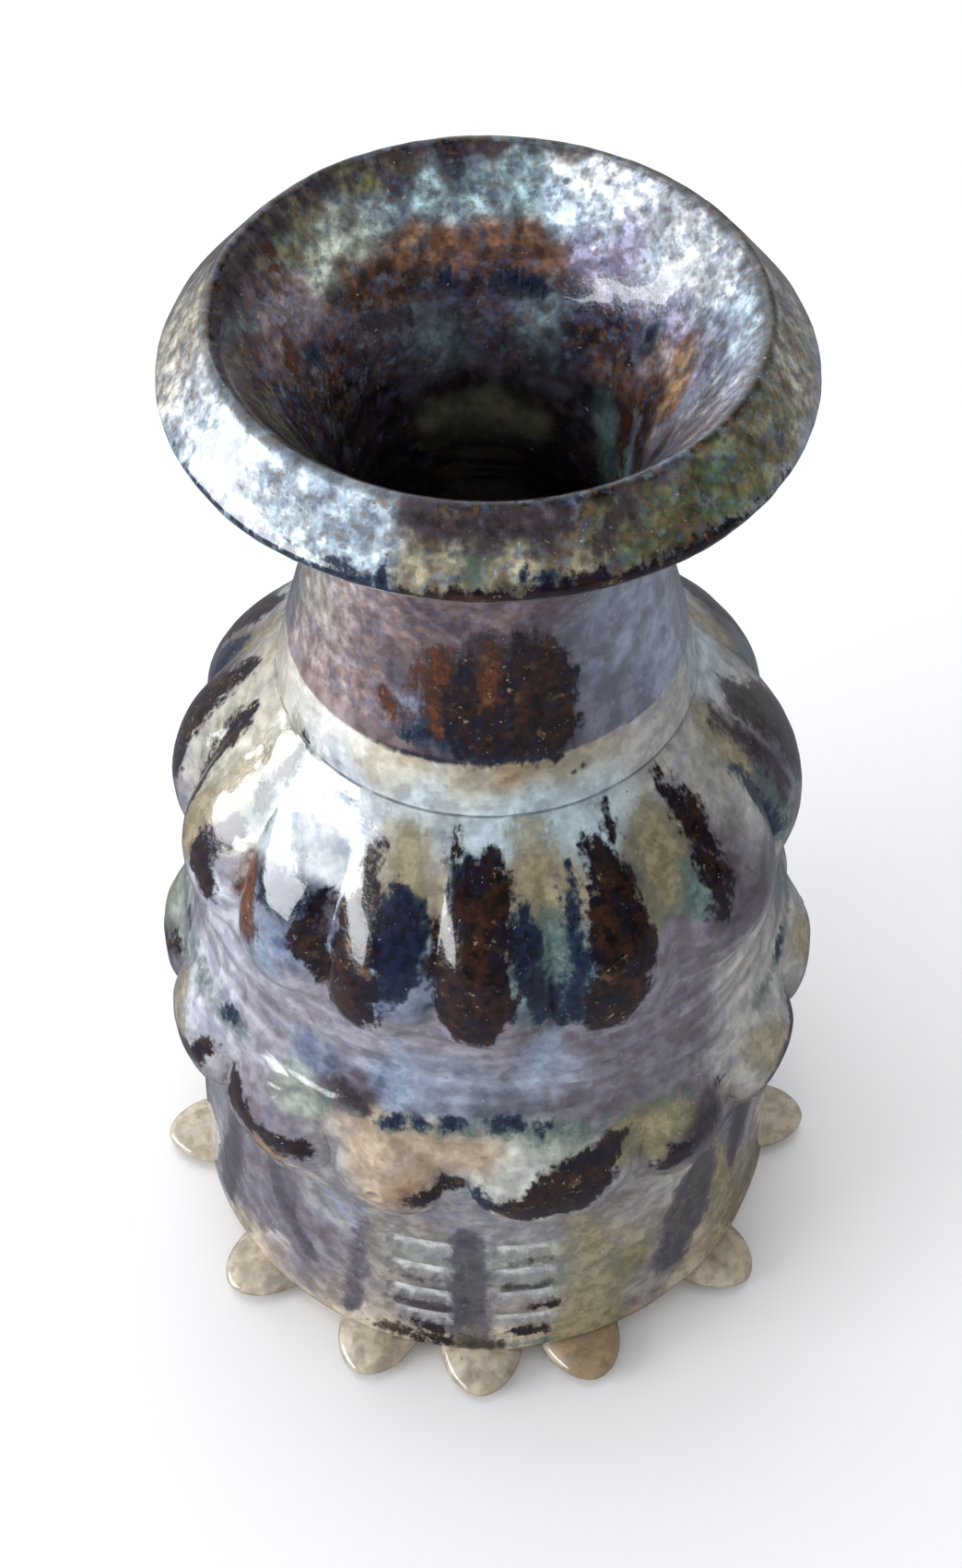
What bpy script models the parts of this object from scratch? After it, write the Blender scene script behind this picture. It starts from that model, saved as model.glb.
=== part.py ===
"""Stoneware bud vase, built as it is put together at the leather-hard stage.

A thrown trumpet neck stands on a shoulder dome pressed into rounded lobes. Below them are a
belt wall with applied petal bosses, a drum with stamped ladders, and a foot disc set round
with applied knobs. Units are metres, +Z is up, and the origin is the centre of the underside.
Azimuth 0 is the front of the vase, at -Y, and azimuths grow towards +X.
"""
import math

import bmesh
import bpy

MM = 0.001

# Driving dimensions
HEIGHT = 150.0 * MM
CREST_R = 28.5 * MM       # thin ridge round the mouth
LIP_R = 34.3 * MM         # widest part of the sloped rim band
NECK_R = 19.9 * MM        # narrowest part of the neck
THROAT_R = 14.8 * MM      # narrowest part of the bore
SEAM_R = 24.6 * MM        # where the neck is luted to the shoulder
SHOULDER_R = 36.8 * MM    # shoulder at the bottom of the lobe grooves
WAIST_R = 36.6 * MM
BELT_R = 39.8 * MM
DRUM_R = 40.0 * MM
FOOT_R = 38.2 * MM        # foot disc, set in under the drum's lower edge
WALL = 4.8 * MM
GAP = 0.3 * MM            # slip joint between two pieces

SEAM_Z = 98.6 * MM
WAIST_Z = 58.5 * MM       # waist to belt joint
BELT_Z = 35.0 * MM        # belt to drum joint
FOOT_Z = 3.4 * MM         # drum to foot joint

# Lobes pressed by eye round the shoulder: azimuths of the grooves, wider on the right
GROOVES = (-133, -106, -80, -54, -31, -10, 12, 37, 72, 107, 144, 172, 200)
LOBE_SWELL = 2.1 * MM
LOBE_TOP_Z = 94.0 * MM
LOBE_FULL_Z = 78.0 * MM
LOBE_END_Z = 71.5 * MM
STEPS_PER_LOBE = 6

# Petal bosses pressed on by eye: azimuth and angular width of the front six, then even ones
BOSSES_FRONT = ((-67, 23), (-42, 23), (-18, 19), (12, 27), (38, 18), (62, 22))
BOSSES_BACK = 8
BOSS_BACK_WIDE = 23
BOSS_TALL = 20.0 * MM
BOSS_CREST_R = 42.4 * MM
BOSS_Z = 47.0 * MM
BOSS_TAPER = 0.14

# Knobs set by eye like a ring of feet: the front seven, then even ones round the back
KNOBS_FRONT = (-84, -50, -23, -1, 20, 52, 88)
KNOBS_BACK = 5
KNOB_WIDTH = 12.4 * MM
KNOB_TALL = 4.4 * MM
KNOB_CREST_R = 46.2 * MM
KNOB_ROOT_R = 38.6 * MM
KNOB_Z = 2.3 * MM
KNOB_TAPER = 0.1

# Stamped ladders, in pairs on the drum
LADDER_PAIRS = (-3, 117, 237)
LADDER_APART = 20
RUNG_COUNT = 4
RUNG_WIDTH = 8.4 * MM
RUNG_TALL = 2.4 * MM
RUNG_PITCH = 5.4 * MM
RUNG_DEPTH = 0.7 * MM
RUNG_LOW_Z = 11.4 * MM

TURN_STEPS = 48
PELLET_STEPS = (12, 8)
CURVE_STEPS = 2           # facets between two control points of a profile


def clear_scene():
    for obj in list(bpy.data.objects):
        bpy.data.objects.remove(obj, do_unlink=True)


def new_collection(name):
    group = bpy.data.collections.new(name)
    bpy.context.scene.collection.children.link(group)
    return group


def glaze(name, color, roughness):
    mat = bpy.data.materials.new(name)
    mat.use_nodes = True
    shader = mat.node_tree.nodes["Principled BSDF"]
    shader.inputs["Base Color"].default_value = (*color, 1.0)
    shader.inputs["Roughness"].default_value = roughness
    shader.inputs["Metallic"].default_value = 0.0
    mat.diffuse_color = (*color, 1.0)
    return mat


def smooth(points, steps=CURVE_STEPS):
    """Catmull-Rom curve through the control points of a profile."""
    out = []
    last = len(points) - 1
    for i in range(last):
        p0 = points[max(i - 1, 0)]
        p1 = points[i]
        p2 = points[i + 1]
        p3 = points[min(i + 2, last)]
        for s in range(steps):
            t = s / steps
            out.append(tuple(
                0.5 * (2 * b + (c - a) * t + (2 * a - 5 * b + 4 * c - d) * t ** 2
                       + (3 * b - a - 3 * c + d) * t ** 3)
                for a, b, c, d in zip(p0, p1, p2, p3)))
    out.append(points[-1])
    return out


def turned(name, profile, group, material=None, closed=True):
    """A profile at +X, given down its outer side, turned about Z. A closed one is a ring."""
    mesh = bpy.data.meshes.new(name)
    count = len(profile)
    links = count if closed else count - 1
    mesh.from_pydata([(r, 0.0, z) for r, z in profile],
                     [(i, (i + 1) % count) for i in range(links)], [])
    obj = bpy.data.objects.new(name, mesh)
    group.objects.link(obj)
    screw = obj.modifiers.new("turn", 'SCREW')
    screw.axis = 'Z'
    screw.steps = TURN_STEPS
    screw.render_steps = TURN_STEPS
    screw.use_merge_vertices = True
    screw.merge_threshold = 0.00001
    screw.use_smooth_shade = True
    if material:
        mesh.materials.append(material)
    return obj


def radial(azimuth_deg):
    """Unit direction of an azimuth, seen from above."""
    a = math.radians(azimuth_deg)
    return math.sin(a), -math.cos(a)


# Outer profiles, down the wall

def neck_outer():
    return smooth([(CREST_R, HEIGHT), (CREST_R + 0.9 * MM, HEIGHT - 0.6 * MM),
                   (LIP_R - 0.5 * MM, HEIGHT - 6.0 * MM), (LIP_R, HEIGHT - 7.4 * MM),
                   (LIP_R - 1.0 * MM, HEIGHT - 8.4 * MM), (CREST_R + 0.6 * MM, HEIGHT - 10.0 * MM),
                   (25.0 * MM, HEIGHT - 12.6 * MM), (21.7 * MM, HEIGHT - 17.0 * MM),
                   (NECK_R, HEIGHT - 27.0 * MM), (21.4 * MM, HEIGHT - 37.5 * MM),
                   (23.2 * MM, HEIGHT - 45.0 * MM), (SEAM_R, SEAM_Z)])


def neck_inner():
    """Up the bore, from the seam to just inside the crest."""
    return smooth([(SEAM_R - WALL, SEAM_Z), (17.6 * MM, HEIGHT - 44.0 * MM),
                   (THROAT_R, HEIGHT - 33.0 * MM), (THROAT_R + 0.4 * MM, HEIGHT - 26.0 * MM),
                   (17.6 * MM, HEIGHT - 16.0 * MM), (22.2 * MM, HEIGHT - 8.0 * MM),
                   (CREST_R - 1.6 * MM, HEIGHT - 1.4 * MM)], 1)


def dome_outer():
    return smooth([(SEAM_R + 0.2 * MM, SEAM_Z - GAP), (28.6 * MM, 93.6 * MM),
                   (33.2 * MM, 87.0 * MM), (35.9 * MM, 81.0 * MM), (SHOULDER_R, 75.0 * MM),
                   (WAIST_R + 0.3 * MM, 70.0 * MM), (WAIST_R, 64.0 * MM),
                   (WAIST_R + 0.9 * MM, WAIST_Z)])


def dome_inner():
    return smooth([(WAIST_R + 0.9 * MM - WALL, WAIST_Z), (WAIST_R - WALL, 66.0 * MM),
                   (SHOULDER_R - WALL, 76.0 * MM), (29.0 * MM, 86.0 * MM),
                   (SEAM_R - WALL + 0.3 * MM, SEAM_Z - GAP)], 1)


def belt_outer():
    return smooth([(WAIST_R + 1.2 * MM, WAIST_Z - GAP), (BELT_R - 0.6 * MM, 54.0 * MM),
                   (BELT_R, 46.0 * MM), (BELT_R - 0.8 * MM, BELT_Z)], 1)


def drum_outer():
    return smooth([(BELT_R - 1.0 * MM, BELT_Z - GAP), (DRUM_R - 1.2 * MM, 27.0 * MM),
                   (DRUM_R - 0.4 * MM, 16.0 * MM), (DRUM_R, FOOT_Z + GAP)], 1)


def foot_outer():
    return [(FOOT_R, FOOT_Z), (FOOT_R, 0.9 * MM), (FOOT_R - 0.9 * MM, 0.0)]


def inner_wall(outer):
    """The outer wall moved in by the wall thickness, given up the inner side."""
    return [(r - WALL, z) for r, z in reversed(outer)]


def full_wall(gap):
    """Outline of the lower body, stood off by a gap, from top to bottom."""
    wall = dome_outer() + belt_outer() + drum_outer() + foot_outer()
    outline = [(r + gap, z) for r, z in wall]
    top = outline[0][1]
    return [(0.0, top)] + outline + [(outline[-1][0], -GAP), (0.0, -GAP)]


# Sub-parts

def lobe_swell(t, z):
    """Swell at t across a lobe (-1 to 1, groove to groove): full low down, none at the top."""
    if z > LOBE_FULL_Z:
        rise = max(0.0, (LOBE_TOP_Z - z) / (LOBE_TOP_Z - LOBE_FULL_Z))
        envelope = math.sin(0.5 * math.pi * rise)
    else:
        fall = max(0.0, (z - LOBE_END_Z) / (LOBE_FULL_Z - LOBE_END_Z))
        envelope = math.sqrt(max(0.0, 1.0 - (1.0 - fall) ** 2))
    return LOBE_SWELL * envelope * math.sqrt(1.0 - t * t)


def press_lobes(obj):
    """Turn the plain shoulder into lobes: each lobe takes the same number of facets."""
    graph = bpy.context.evaluated_depsgraph_get()
    mesh = bpy.data.meshes.new_from_object(obj.evaluated_get(graph))
    obj.modifiers.clear()
    obj.data = mesh
    steps = STEPS_PER_LOBE * len(GROOVES)
    for vert in mesh.vertices:
        radius = math.hypot(vert.co.x, vert.co.y)
        step = round(math.atan2(vert.co.y, vert.co.x) / math.tau * steps) % steps
        lobe, within = divmod(step, STEPS_PER_LOBE)
        left = GROOVES[lobe]
        right = GROOVES[(lobe + 1) % len(GROOVES)]
        width = (right - left) % 360
        azimuth = left + width * within / STEPS_PER_LOBE
        if radius > radius_at(dome_outer(), vert.co.z) - 0.5 * WALL:
            radius += lobe_swell(2.0 * within / STEPS_PER_LOBE - 1.0, vert.co.z)
        x, y = radial(azimuth)
        vert.co.x = radius * x
        vert.co.y = radius * y


def radius_at(profile, z):
    """Radius of a profile at a height."""
    best = min(zip(profile, profile[1:]),
               key=lambda pair: abs(z - 0.5 * (pair[0][1] + pair[1][1])))
    (r0, z0), (r1, z1) = best
    t = (z - z0) / (z1 - z0)
    return r0 + (r1 - r0) * t


def make_neck(parts, material):
    return turned("neck_and_lip", neck_outer() + neck_inner(), parts, material)


def make_dome(parts, material):
    dome = turned("shoulder_dome", dome_outer() + dome_inner(), parts, material)
    dome.modifiers["turn"].steps = STEPS_PER_LOBE * len(GROOVES)
    dome.modifiers["turn"].render_steps = STEPS_PER_LOBE * len(GROOVES)
    press_lobes(dome)
    return dome


def make_belt(parts, material):
    return turned("belt_ring", belt_outer() + inner_wall(belt_outer()), parts, material)


def make_drum(parts, cutters, material):
    """Drum wall with stacks of shallow stamped rungs, the ladders."""
    drum = turned("lower_drum", drum_outer() + inner_wall(drum_outer()), parts, material)
    sides = [pair + side * LADDER_APART for pair in LADDER_PAIRS for side in (-0.5, 0.5)]
    for number, azimuth in enumerate(sides):
        cut = drum.modifiers.new(f"ladder_{number + 1:02d}", 'BOOLEAN')
        cut.operation = 'DIFFERENCE'
        cut.object = ladder_cutter(f"ladder_cutter_{number + 1:02d}", azimuth, cutters)
    return drum


def ladder_cutter(name, azimuth, cutters):
    bm = bmesh.new()
    for rung in range(RUNG_COUNT):
        cube = bmesh.ops.create_cube(bm, size=1.0)
        deep = 4.0 * MM
        bmesh.ops.scale(bm, vec=(RUNG_WIDTH, deep, RUNG_TALL), verts=cube["verts"])
        z = RUNG_LOW_Z + rung * RUNG_PITCH
        wall = radius_at(drum_outer(), z) - RUNG_DEPTH
        bmesh.ops.translate(bm, vec=(0.0, -wall - 0.5 * deep, z), verts=cube["verts"])
    mesh = bpy.data.meshes.new(name)
    bm.to_mesh(mesh)
    bm.free()
    cutter = bpy.data.objects.new(name, mesh)
    cutter.rotation_euler.z = math.radians(azimuth)
    hide_cutter(cutter, cutters)
    return cutter


def hide_cutter(cutter, cutters):
    cutter.display_type = 'WIRE'
    cutter.hide_render = True
    cutters.objects.link(cutter)


def make_foot(parts, material):
    profile = [(0.0, FOOT_Z)] + foot_outer() + [(0.0, 0.0)]
    return turned("foot_disc", profile, parts, material, closed=False)


def pellet(name, size, center_r, z, azimuth, taper, parts, material, wall):
    """Clay pellet pressed on the wall: thinner towards the top, and cut to the wall's curve."""
    bm = bmesh.new()
    around, up = PELLET_STEPS
    bmesh.ops.create_uvsphere(bm, u_segments=around, v_segments=up, radius=0.5)
    for vert in bm.verts:
        thin = 1.0 - taper * (vert.co.z + 0.5)
        vert.co.x *= thin
        vert.co.y *= thin
    bmesh.ops.scale(bm, vec=size, verts=bm.verts)
    mesh = bpy.data.meshes.new(name)
    bm.to_mesh(mesh)
    bm.free()
    mesh.shade_smooth()
    mesh.materials.append(material)
    obj = bpy.data.objects.new(name, mesh)
    x, y = radial(azimuth)
    obj.location = (center_r * x, center_r * y, z)
    obj.rotation_euler.z = math.radians(azimuth)
    parts.objects.link(obj)
    trim = obj.modifiers.new("wall", 'BOOLEAN')
    trim.operation = 'DIFFERENCE'
    trim.object = wall
    return obj


def even_between(last, first, count):
    """Azimuths of the pieces spread evenly round the back, from the last to the first."""
    step = (first + 360 - last) / (count + 1)
    return [last + step * (i + 1) for i in range(count)]


def make_bosses(parts, material, wall):
    back = even_between(BOSSES_FRONT[-1][0], BOSSES_FRONT[0][0], BOSSES_BACK)
    bosses = list(BOSSES_FRONT) + [(azimuth, BOSS_BACK_WIDE) for azimuth in back]
    center_r = BELT_R - 1.0 * MM
    for number, (azimuth, wide) in enumerate(bosses):
        width = 2.0 * BELT_R * math.sin(math.radians(0.5 * wide))
        size = (width, 2.0 * (BOSS_CREST_R - center_r), BOSS_TALL)
        pellet(f"boss_{number + 1:02d}", size, center_r, BOSS_Z, azimuth,
               BOSS_TAPER, parts, material, wall)


def make_knobs(parts, material, wall):
    back = even_between(KNOBS_FRONT[-1], KNOBS_FRONT[0], KNOBS_BACK)
    size = (KNOB_WIDTH, 2.0 * (KNOB_CREST_R - KNOB_ROOT_R), KNOB_TALL)
    for number, azimuth in enumerate(list(KNOBS_FRONT) + back):
        pellet(f"foot_knob_{number + 1:02d}", size, KNOB_ROOT_R, KNOB_Z, azimuth,
               KNOB_TAPER, parts, material, wall)


def main():
    clear_scene()
    parts = new_collection("bud_vase")
    cutters = new_collection("cutters")
    wall = turned("wall_cutter", full_wall(GAP), parts, closed=False)
    parts.objects.unlink(wall)
    hide_cutter(wall, cutters)
    make_neck(parts, glaze("neck_glaze", (0.10, 0.08, 0.11), 0.16))
    make_dome(parts, glaze("shoulder_glaze", (0.09, 0.08, 0.12), 0.14))
    make_belt(parts, glaze("belt_glaze", (0.30, 0.29, 0.31), 0.22))
    make_drum(parts, cutters, glaze("drum_glaze", (0.31, 0.30, 0.33), 0.24))
    make_foot(parts, glaze("foot_clay", (0.42, 0.33, 0.24), 0.75))
    make_bosses(parts, glaze("boss_glaze", (0.40, 0.31, 0.20), 0.20), wall)
    make_knobs(parts, glaze("knob_glaze", (0.46, 0.38, 0.27), 0.22), wall)


main()
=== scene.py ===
import math

import bpy
import numpy as np
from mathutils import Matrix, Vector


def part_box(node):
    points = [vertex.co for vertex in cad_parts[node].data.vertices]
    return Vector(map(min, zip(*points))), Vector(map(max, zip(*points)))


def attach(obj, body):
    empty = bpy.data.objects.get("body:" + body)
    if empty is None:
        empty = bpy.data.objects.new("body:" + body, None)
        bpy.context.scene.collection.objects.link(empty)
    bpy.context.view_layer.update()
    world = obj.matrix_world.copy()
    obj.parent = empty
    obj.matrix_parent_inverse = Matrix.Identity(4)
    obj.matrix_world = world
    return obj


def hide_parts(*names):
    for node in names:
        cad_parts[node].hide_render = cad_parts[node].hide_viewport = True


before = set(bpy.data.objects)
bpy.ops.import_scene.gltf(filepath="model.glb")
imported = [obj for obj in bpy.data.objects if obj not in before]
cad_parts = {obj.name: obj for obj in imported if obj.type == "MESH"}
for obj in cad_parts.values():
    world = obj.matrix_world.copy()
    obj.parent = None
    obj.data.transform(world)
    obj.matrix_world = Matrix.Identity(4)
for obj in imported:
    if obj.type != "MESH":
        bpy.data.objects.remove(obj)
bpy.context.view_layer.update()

MM = 0.001


# ---------------------------------------------------------------- sizes, from the frame

def node_points(name):
    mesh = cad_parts[name].data
    points = np.empty(len(mesh.vertices) * 3)
    mesh.vertices.foreach_get("co", points)
    return points.reshape(-1, 3) / MM


def azimuth_of(points):
    return np.degrees(np.arctan2(points[..., 0], -points[..., 1]))


def radius_of(points):
    return np.hypot(points[..., 0], points[..., 1])


def wrapped(degrees):
    """The same angle between -180 and 180."""
    return (degrees + 180) % 360 - 180


def box_mm(name):
    low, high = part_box(name)
    return low / MM, high / MM


def crest_radius():
    points = node_points("neck_and_lip")
    return radius_of(points[points[:, 2] > points[:, 2].max() - 0.01]).mean()


def find_grooves():
    """Azimuths of the grooves between the lobes, read from the widest ring of the shoulder."""
    points = node_points("shoulder_dome")
    radius = radius_of(points)
    level = np.round(points[:, 2], 2)
    widest = level[np.argmax(radius)]
    ring = (level == widest) & (radius > radius.max() - 0.8 * WALL)
    azimuth, first = np.unique(np.round(azimuth_of(points[ring]), 1), return_index=True)
    radius = radius[ring][first]
    low = (radius < np.roll(radius, 1) - 0.05) & (radius < np.roll(radius, -1) - 0.05)
    return azimuth[low]


def centers(prefix):
    """(name, azimuth, middle height, width, height, crest radius) of nodes with that prefix."""
    found = []
    for name in sorted(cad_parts):
        if name.startswith(prefix):
            low, high = box_mm(name)
            points = node_points(name)
            middle = (low + high) / 2
            azimuth = math.degrees(math.atan2(middle.x, -middle.y))
            spread = wrapped(azimuth_of(points) - azimuth)
            crest = radius_of(points).max()
            width = math.radians(spread.max() - spread.min()) * crest
            found.append((name, azimuth, middle.z, width, high.z - low.z, crest))
    return found


WALL = 4.8
HEIGHT = box_mm("neck_and_lip")[1].z
CREST_R = crest_radius()
LIP_R = box_mm("neck_and_lip")[1].x
SEAM_Z = box_mm("neck_and_lip")[0].z
DOME_Z = box_mm("shoulder_dome")[1].z
WAIST_Z = box_mm("shoulder_dome")[0].z
BELT_TOP = box_mm("belt_ring")[1].z
BELT_R = box_mm("belt_ring")[1].x
BELT_Z = box_mm("belt_ring")[0].z
DRUM_TOP = box_mm("lower_drum")[1].z
DRUM_R = box_mm("lower_drum")[1].x
DRUM_Z = box_mm("lower_drum")[0].z
FOOT_R = box_mm("foot_disc")[1].x
GROOVES = find_grooves()
LOBE_ENDS = np.append(GROOVES, GROOVES[0] + 360)
BOSSES = centers("boss_")
KNOBS = centers("foot_knob_")

LIP_Z = HEIGHT - 7.4
GLAZE_END_Z = SEAM_Z + 6.9
SEAM_R = 24.6
NECK_R = 19.9
THROAT_R = 14.8
SHOULDER_R = 36.8
WAIST_R = 36.6
LOBE_SWELL = 2.6
LOBE_SINK = 0.4
LOBE_TOP, LOBE_FULL, LOBE_END = 94.0, 78.0, 71.5

# Finger ledges in the waist: start and end azimuth, height at the start, drop a degree, step
LEDGES = [(11, 85, 65.6, 0.0, 0.9), (8, 60, 63.8, 0.16, 0.6), (-70, -8, 68.5, 0.03, 0.6),
          (120, 230, 66.5, 0.02, 0.5), (205, 290, 62.5, -0.03, 0.4)]
# Burst bubbles in the glaze: azimuth, height, radius
CRATERS = [(11, 75.3, 1.5), (16.5, 74.6, 0.7), (24, 102.7, 0.55), (27, 103.4, 0.6),
           (-19, 44.5, 1.1), (6, 45.5, 0.8), (-60, 74.5, 0.6), (150, 88.0, 0.8),
           (205, 70.0, 1.1), (-120, 101.5, 0.6), (96, 47.0, 0.9)]
# Stamped ladders, in pairs on the drum
LADDERS = [pair + side for pair in (-3, 117, 237) for side in (-10, 10)]
RUNGS = [11.4 + 5.4 * i for i in range(4)]
RUNG_HALF_WIDE, RUNG_HALF_TALL, RUNG_DEPTH = 4.2, 1.2, 0.7
POOL_HALF_WIDE, POOL_HALF_TALL = 4.6, 1.5

PETAL_SPREAD = 1.16       # a petal is smoothed out wider and prouder than its boss
PETAL_PROUD = 0.5
KNOB_SQUEEZE = 0.87       # a knob is narrower than its node
COLUMNS = 480
BUMPS = 0.42


# ---------------------------------------------------------------- noise and curves

def lattice_noise(points, scale, seed):
    """Smooth value noise between -1 and 1 at points (n x 3)."""
    size = 32
    table = np.random.default_rng(seed).random((size, size, size)) * 2 - 1
    p = points / scale + 100.0
    cell = np.floor(p).astype(int)
    f = p - cell
    f = f * f * (3 - 2 * f)
    total = np.zeros(len(points))
    for corner in range(8):
        step = np.array([corner & 1, corner >> 1 & 1, corner >> 2 & 1])
        weight = np.prod(np.where(step == 1, f, 1 - f), axis=1)
        index = (cell + step) % size
        total += weight * table[index[:, 0], index[:, 1], index[:, 2]]
    return total


def fractal(points, scale, seed, octaves=3):
    total = np.zeros(len(points))
    share = 1.0
    for octave in range(octaves):
        total += share * lattice_noise(points, scale / 2 ** octave, seed + octave)
        share *= 0.5
    return total / (2 - 2 * share)


def smoothstep(low, high, value):
    t = np.clip((value - low) / (high - low), 0, 1)
    return t * t * (3 - 2 * t)


def spline(points, spacing):
    """Catmull-Rom curve through the control points, resampled at an even spacing."""
    p = np.array(points, float)
    ends = np.vstack([2 * p[0] - p[1], p, 2 * p[-1] - p[-2]])
    dense = []
    for i in range(len(p) - 1):
        a, b, c, d = ends[i:i + 4]
        for t in np.arange(40) / 40:
            dense.append(0.5 * (2 * b + (c - a) * t + (2 * a - 5 * b + 4 * c - d) * t ** 2
                                + (3 * b - a - 3 * c + d) * t ** 3))
    dense = np.array(dense + [p[-1]])
    along = np.concatenate([[0], np.cumsum(np.linalg.norm(np.diff(dense, axis=0), axis=1))])
    count = max(2, round(along[-1] / spacing))
    even = np.linspace(0, along[-1], count + 1)
    return np.column_stack([np.interp(even, along, dense[:, 0]),
                            np.interp(even, along, dense[:, 1])])


# ---------------------------------------------------------------- the turned outline

def neck_outline():
    return [(CREST_R, HEIGHT), (CREST_R + 0.9, HEIGHT - 0.6), (LIP_R - 0.5, HEIGHT - 6.0),
            (LIP_R, HEIGHT - 7.4), (LIP_R - 1.0, HEIGHT - 8.4), (CREST_R + 0.6, HEIGHT - 10.0),
            (25.0, HEIGHT - 12.6), (21.7, HEIGHT - 17.0), (NECK_R, HEIGHT - 27.0),
            (21.4, HEIGHT - 37.5), (23.2, HEIGHT - 45.0), (SEAM_R, SEAM_Z)]


def bore_outline():
    """Up the bore, from the seam to the crest."""
    return [(SEAM_R - WALL, SEAM_Z), (17.6, HEIGHT - 44.0), (THROAT_R, HEIGHT - 33.0),
            (THROAT_R + 0.4, HEIGHT - 26.0), (17.6, HEIGHT - 16.0), (22.2, HEIGHT - 8.0),
            (CREST_R - 1.6, HEIGHT - 1.4), (CREST_R, HEIGHT)]


def body_outline():
    """The outer wall from the seam to the foot, as one curve shared by all its pieces."""
    return [(SEAM_R + 0.2, DOME_Z), (28.6, 93.6), (33.2, 87.0), (35.9, 81.0),
            (SHOULDER_R, 75.0), (WAIST_R + 0.3, 70.0), (WAIST_R, 64.0), (WAIST_R + 1.0, WAIST_Z),
            (BELT_R - 0.6, 54.0), (BELT_R, 46.0), (BELT_R - 0.6, BELT_Z + 2.0),
            (BELT_R - 1.1, BELT_Z - 1.5), (DRUM_R - 1.2, 27.0), (DRUM_R - 0.4, 16.0),
            (DRUM_R - 0.1, DRUM_Z + 3.0), (DRUM_R, DRUM_Z + 0.8), (DRUM_R - 0.2, DRUM_Z + 0.2),
            (DRUM_R - 0.8, DRUM_Z)]


BODY_CURVE = spline(body_outline(), 0.1)


def body_radius(z):
    return np.interp(-np.asarray(z, float), -BODY_CURVE[:, 1], BODY_CURVE[:, 0])


NECK_CURVE = spline(neck_outline()[3:], 0.1)


def wall_radius(z):
    """Plain outer radius at a height, from the crest down to the foot."""
    z = np.asarray(z, float)
    neck = np.interp(-z, -NECK_CURVE[:, 1], NECK_CURVE[:, 0])
    rim = LIP_R - (z - LIP_Z) * (LIP_R - CREST_R) / (HEIGHT - LIP_Z)
    return np.where(z > LIP_Z, rim, np.where(z > SEAM_Z, neck, body_radius(z)))


BORE_CURVE = spline(bore_outline(), 0.1)


def bore_radius(z):
    """Plain radius of the bore of the neck at a height."""
    return np.interp(z, BORE_CURVE[:, 1], BORE_CURVE[:, 0])


# ---------------------------------------------------------------- relief, in millimetres

def lobes(azimuth, z):
    """Swell of the gadrooned shoulder: rounded across each lobe, ending in rounded tips."""
    turned = (azimuth - LOBE_ENDS[0]) % 360 + LOBE_ENDS[0]
    index = np.clip(np.searchsorted(LOBE_ENDS, turned, side="right") - 1, 0, len(GROOVES) - 1)
    left, right = LOBE_ENDS[index], LOBE_ENDS[index + 1]
    t = 2 * (turned - left) / (right - left) - 1
    across = 1 - np.abs(t) ** 2.3
    tip = LOBE_END + 2.6 * t * t
    rise = np.sin(0.5 * math.pi * np.clip((LOBE_TOP - z) / (LOBE_TOP - LOBE_FULL), 0, 1))
    fall = np.clip((z - tip) / (LOBE_FULL - tip), 0, 1)
    swell = LOBE_SWELL * across - LOBE_SINK
    return swell * rise * np.sqrt(np.clip(1 - (1 - fall) ** 2, 0, 1))


def throwing_lines(points, pitch, seed):
    """Lines left by the potter's fingers: long round the pot, short up it."""
    azimuth = np.radians(azimuth_of(points))
    stretched = np.column_stack([np.sin(azimuth) * 8, -np.cos(azimuth) * 8,
                                 points[:, 2] / pitch * 6])
    return fractal(stretched, 6.0, seed, 2)


def rung_distances(azimuth, z):
    """For each stamped rung in turn, how far the points are from its middle, across and up."""
    for center in LADDERS:
        across = np.abs(np.radians(wrapped(azimuth - center)) * DRUM_R)
        for rung in RUNGS:
            yield across, np.abs(z - rung)


def ladders(azimuth, z):
    """Stamped rungs, sunk with soft edges."""
    depth = np.zeros(len(z))
    for across, up in rung_distances(azimuth, z):
        outside = np.maximum(across - RUNG_HALF_WIDE, up - RUNG_HALF_TALL)
        depth = np.maximum(depth, smoothstep(0.35, -0.35, outside))
    return -RUNG_DEPTH * depth


def ledges(azimuth, z):
    """Finger ledges in the waist, each fading out along its length."""
    relief = np.zeros(len(z))
    for start, end, height, drop, step in LEDGES:
        turned = (azimuth - start) % 360
        span = end - start
        along = smoothstep(0, 4, turned) * smoothstep(span, span * 0.6, turned)
        line = height - drop * turned
        lip = smoothstep(line - 0.6, line + 0.1, z) * smoothstep(line + 4.5, line, z)
        relief += step * along * lip
    return relief


def craters(points):
    """Burst bubbles in the glaze: a raised ring round a small pit."""
    relief = np.zeros(len(points))
    for azimuth, z, size in CRATERS:
        radius = wall_radius(z)
        angle = math.radians(azimuth)
        spot = np.array([radius * math.sin(angle), -radius * math.cos(angle), z])
        away = np.linalg.norm(points - spot, axis=1) / size
        relief += 0.28 * size * np.exp(-((away - 1.0) / 0.4) ** 2)
        relief -= 0.35 * size * np.exp(-(away / 0.6) ** 2)
    return relief


def outer_relief(points):
    """Everything that stands off the turned outer wall, along the wall's own normal."""
    azimuth = azimuth_of(points)
    z = points[:, 2]
    relief = lobes(azimuth, z) + ladders(azimuth, z) + ledges(azimuth, z) + craters(points)
    waist = smoothstep(76, 70, z) * smoothstep(50, 56, z)
    relief += throwing_lines(points, 1.5, 11) * (0.04 + 0.16 * waist)
    relief += 0.14 * fractal(points, 8.0, 21) + 0.06 * fractal(points, 2.0, 31, 2)
    return relief * smoothstep(0.0, 2.0, z)


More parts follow.
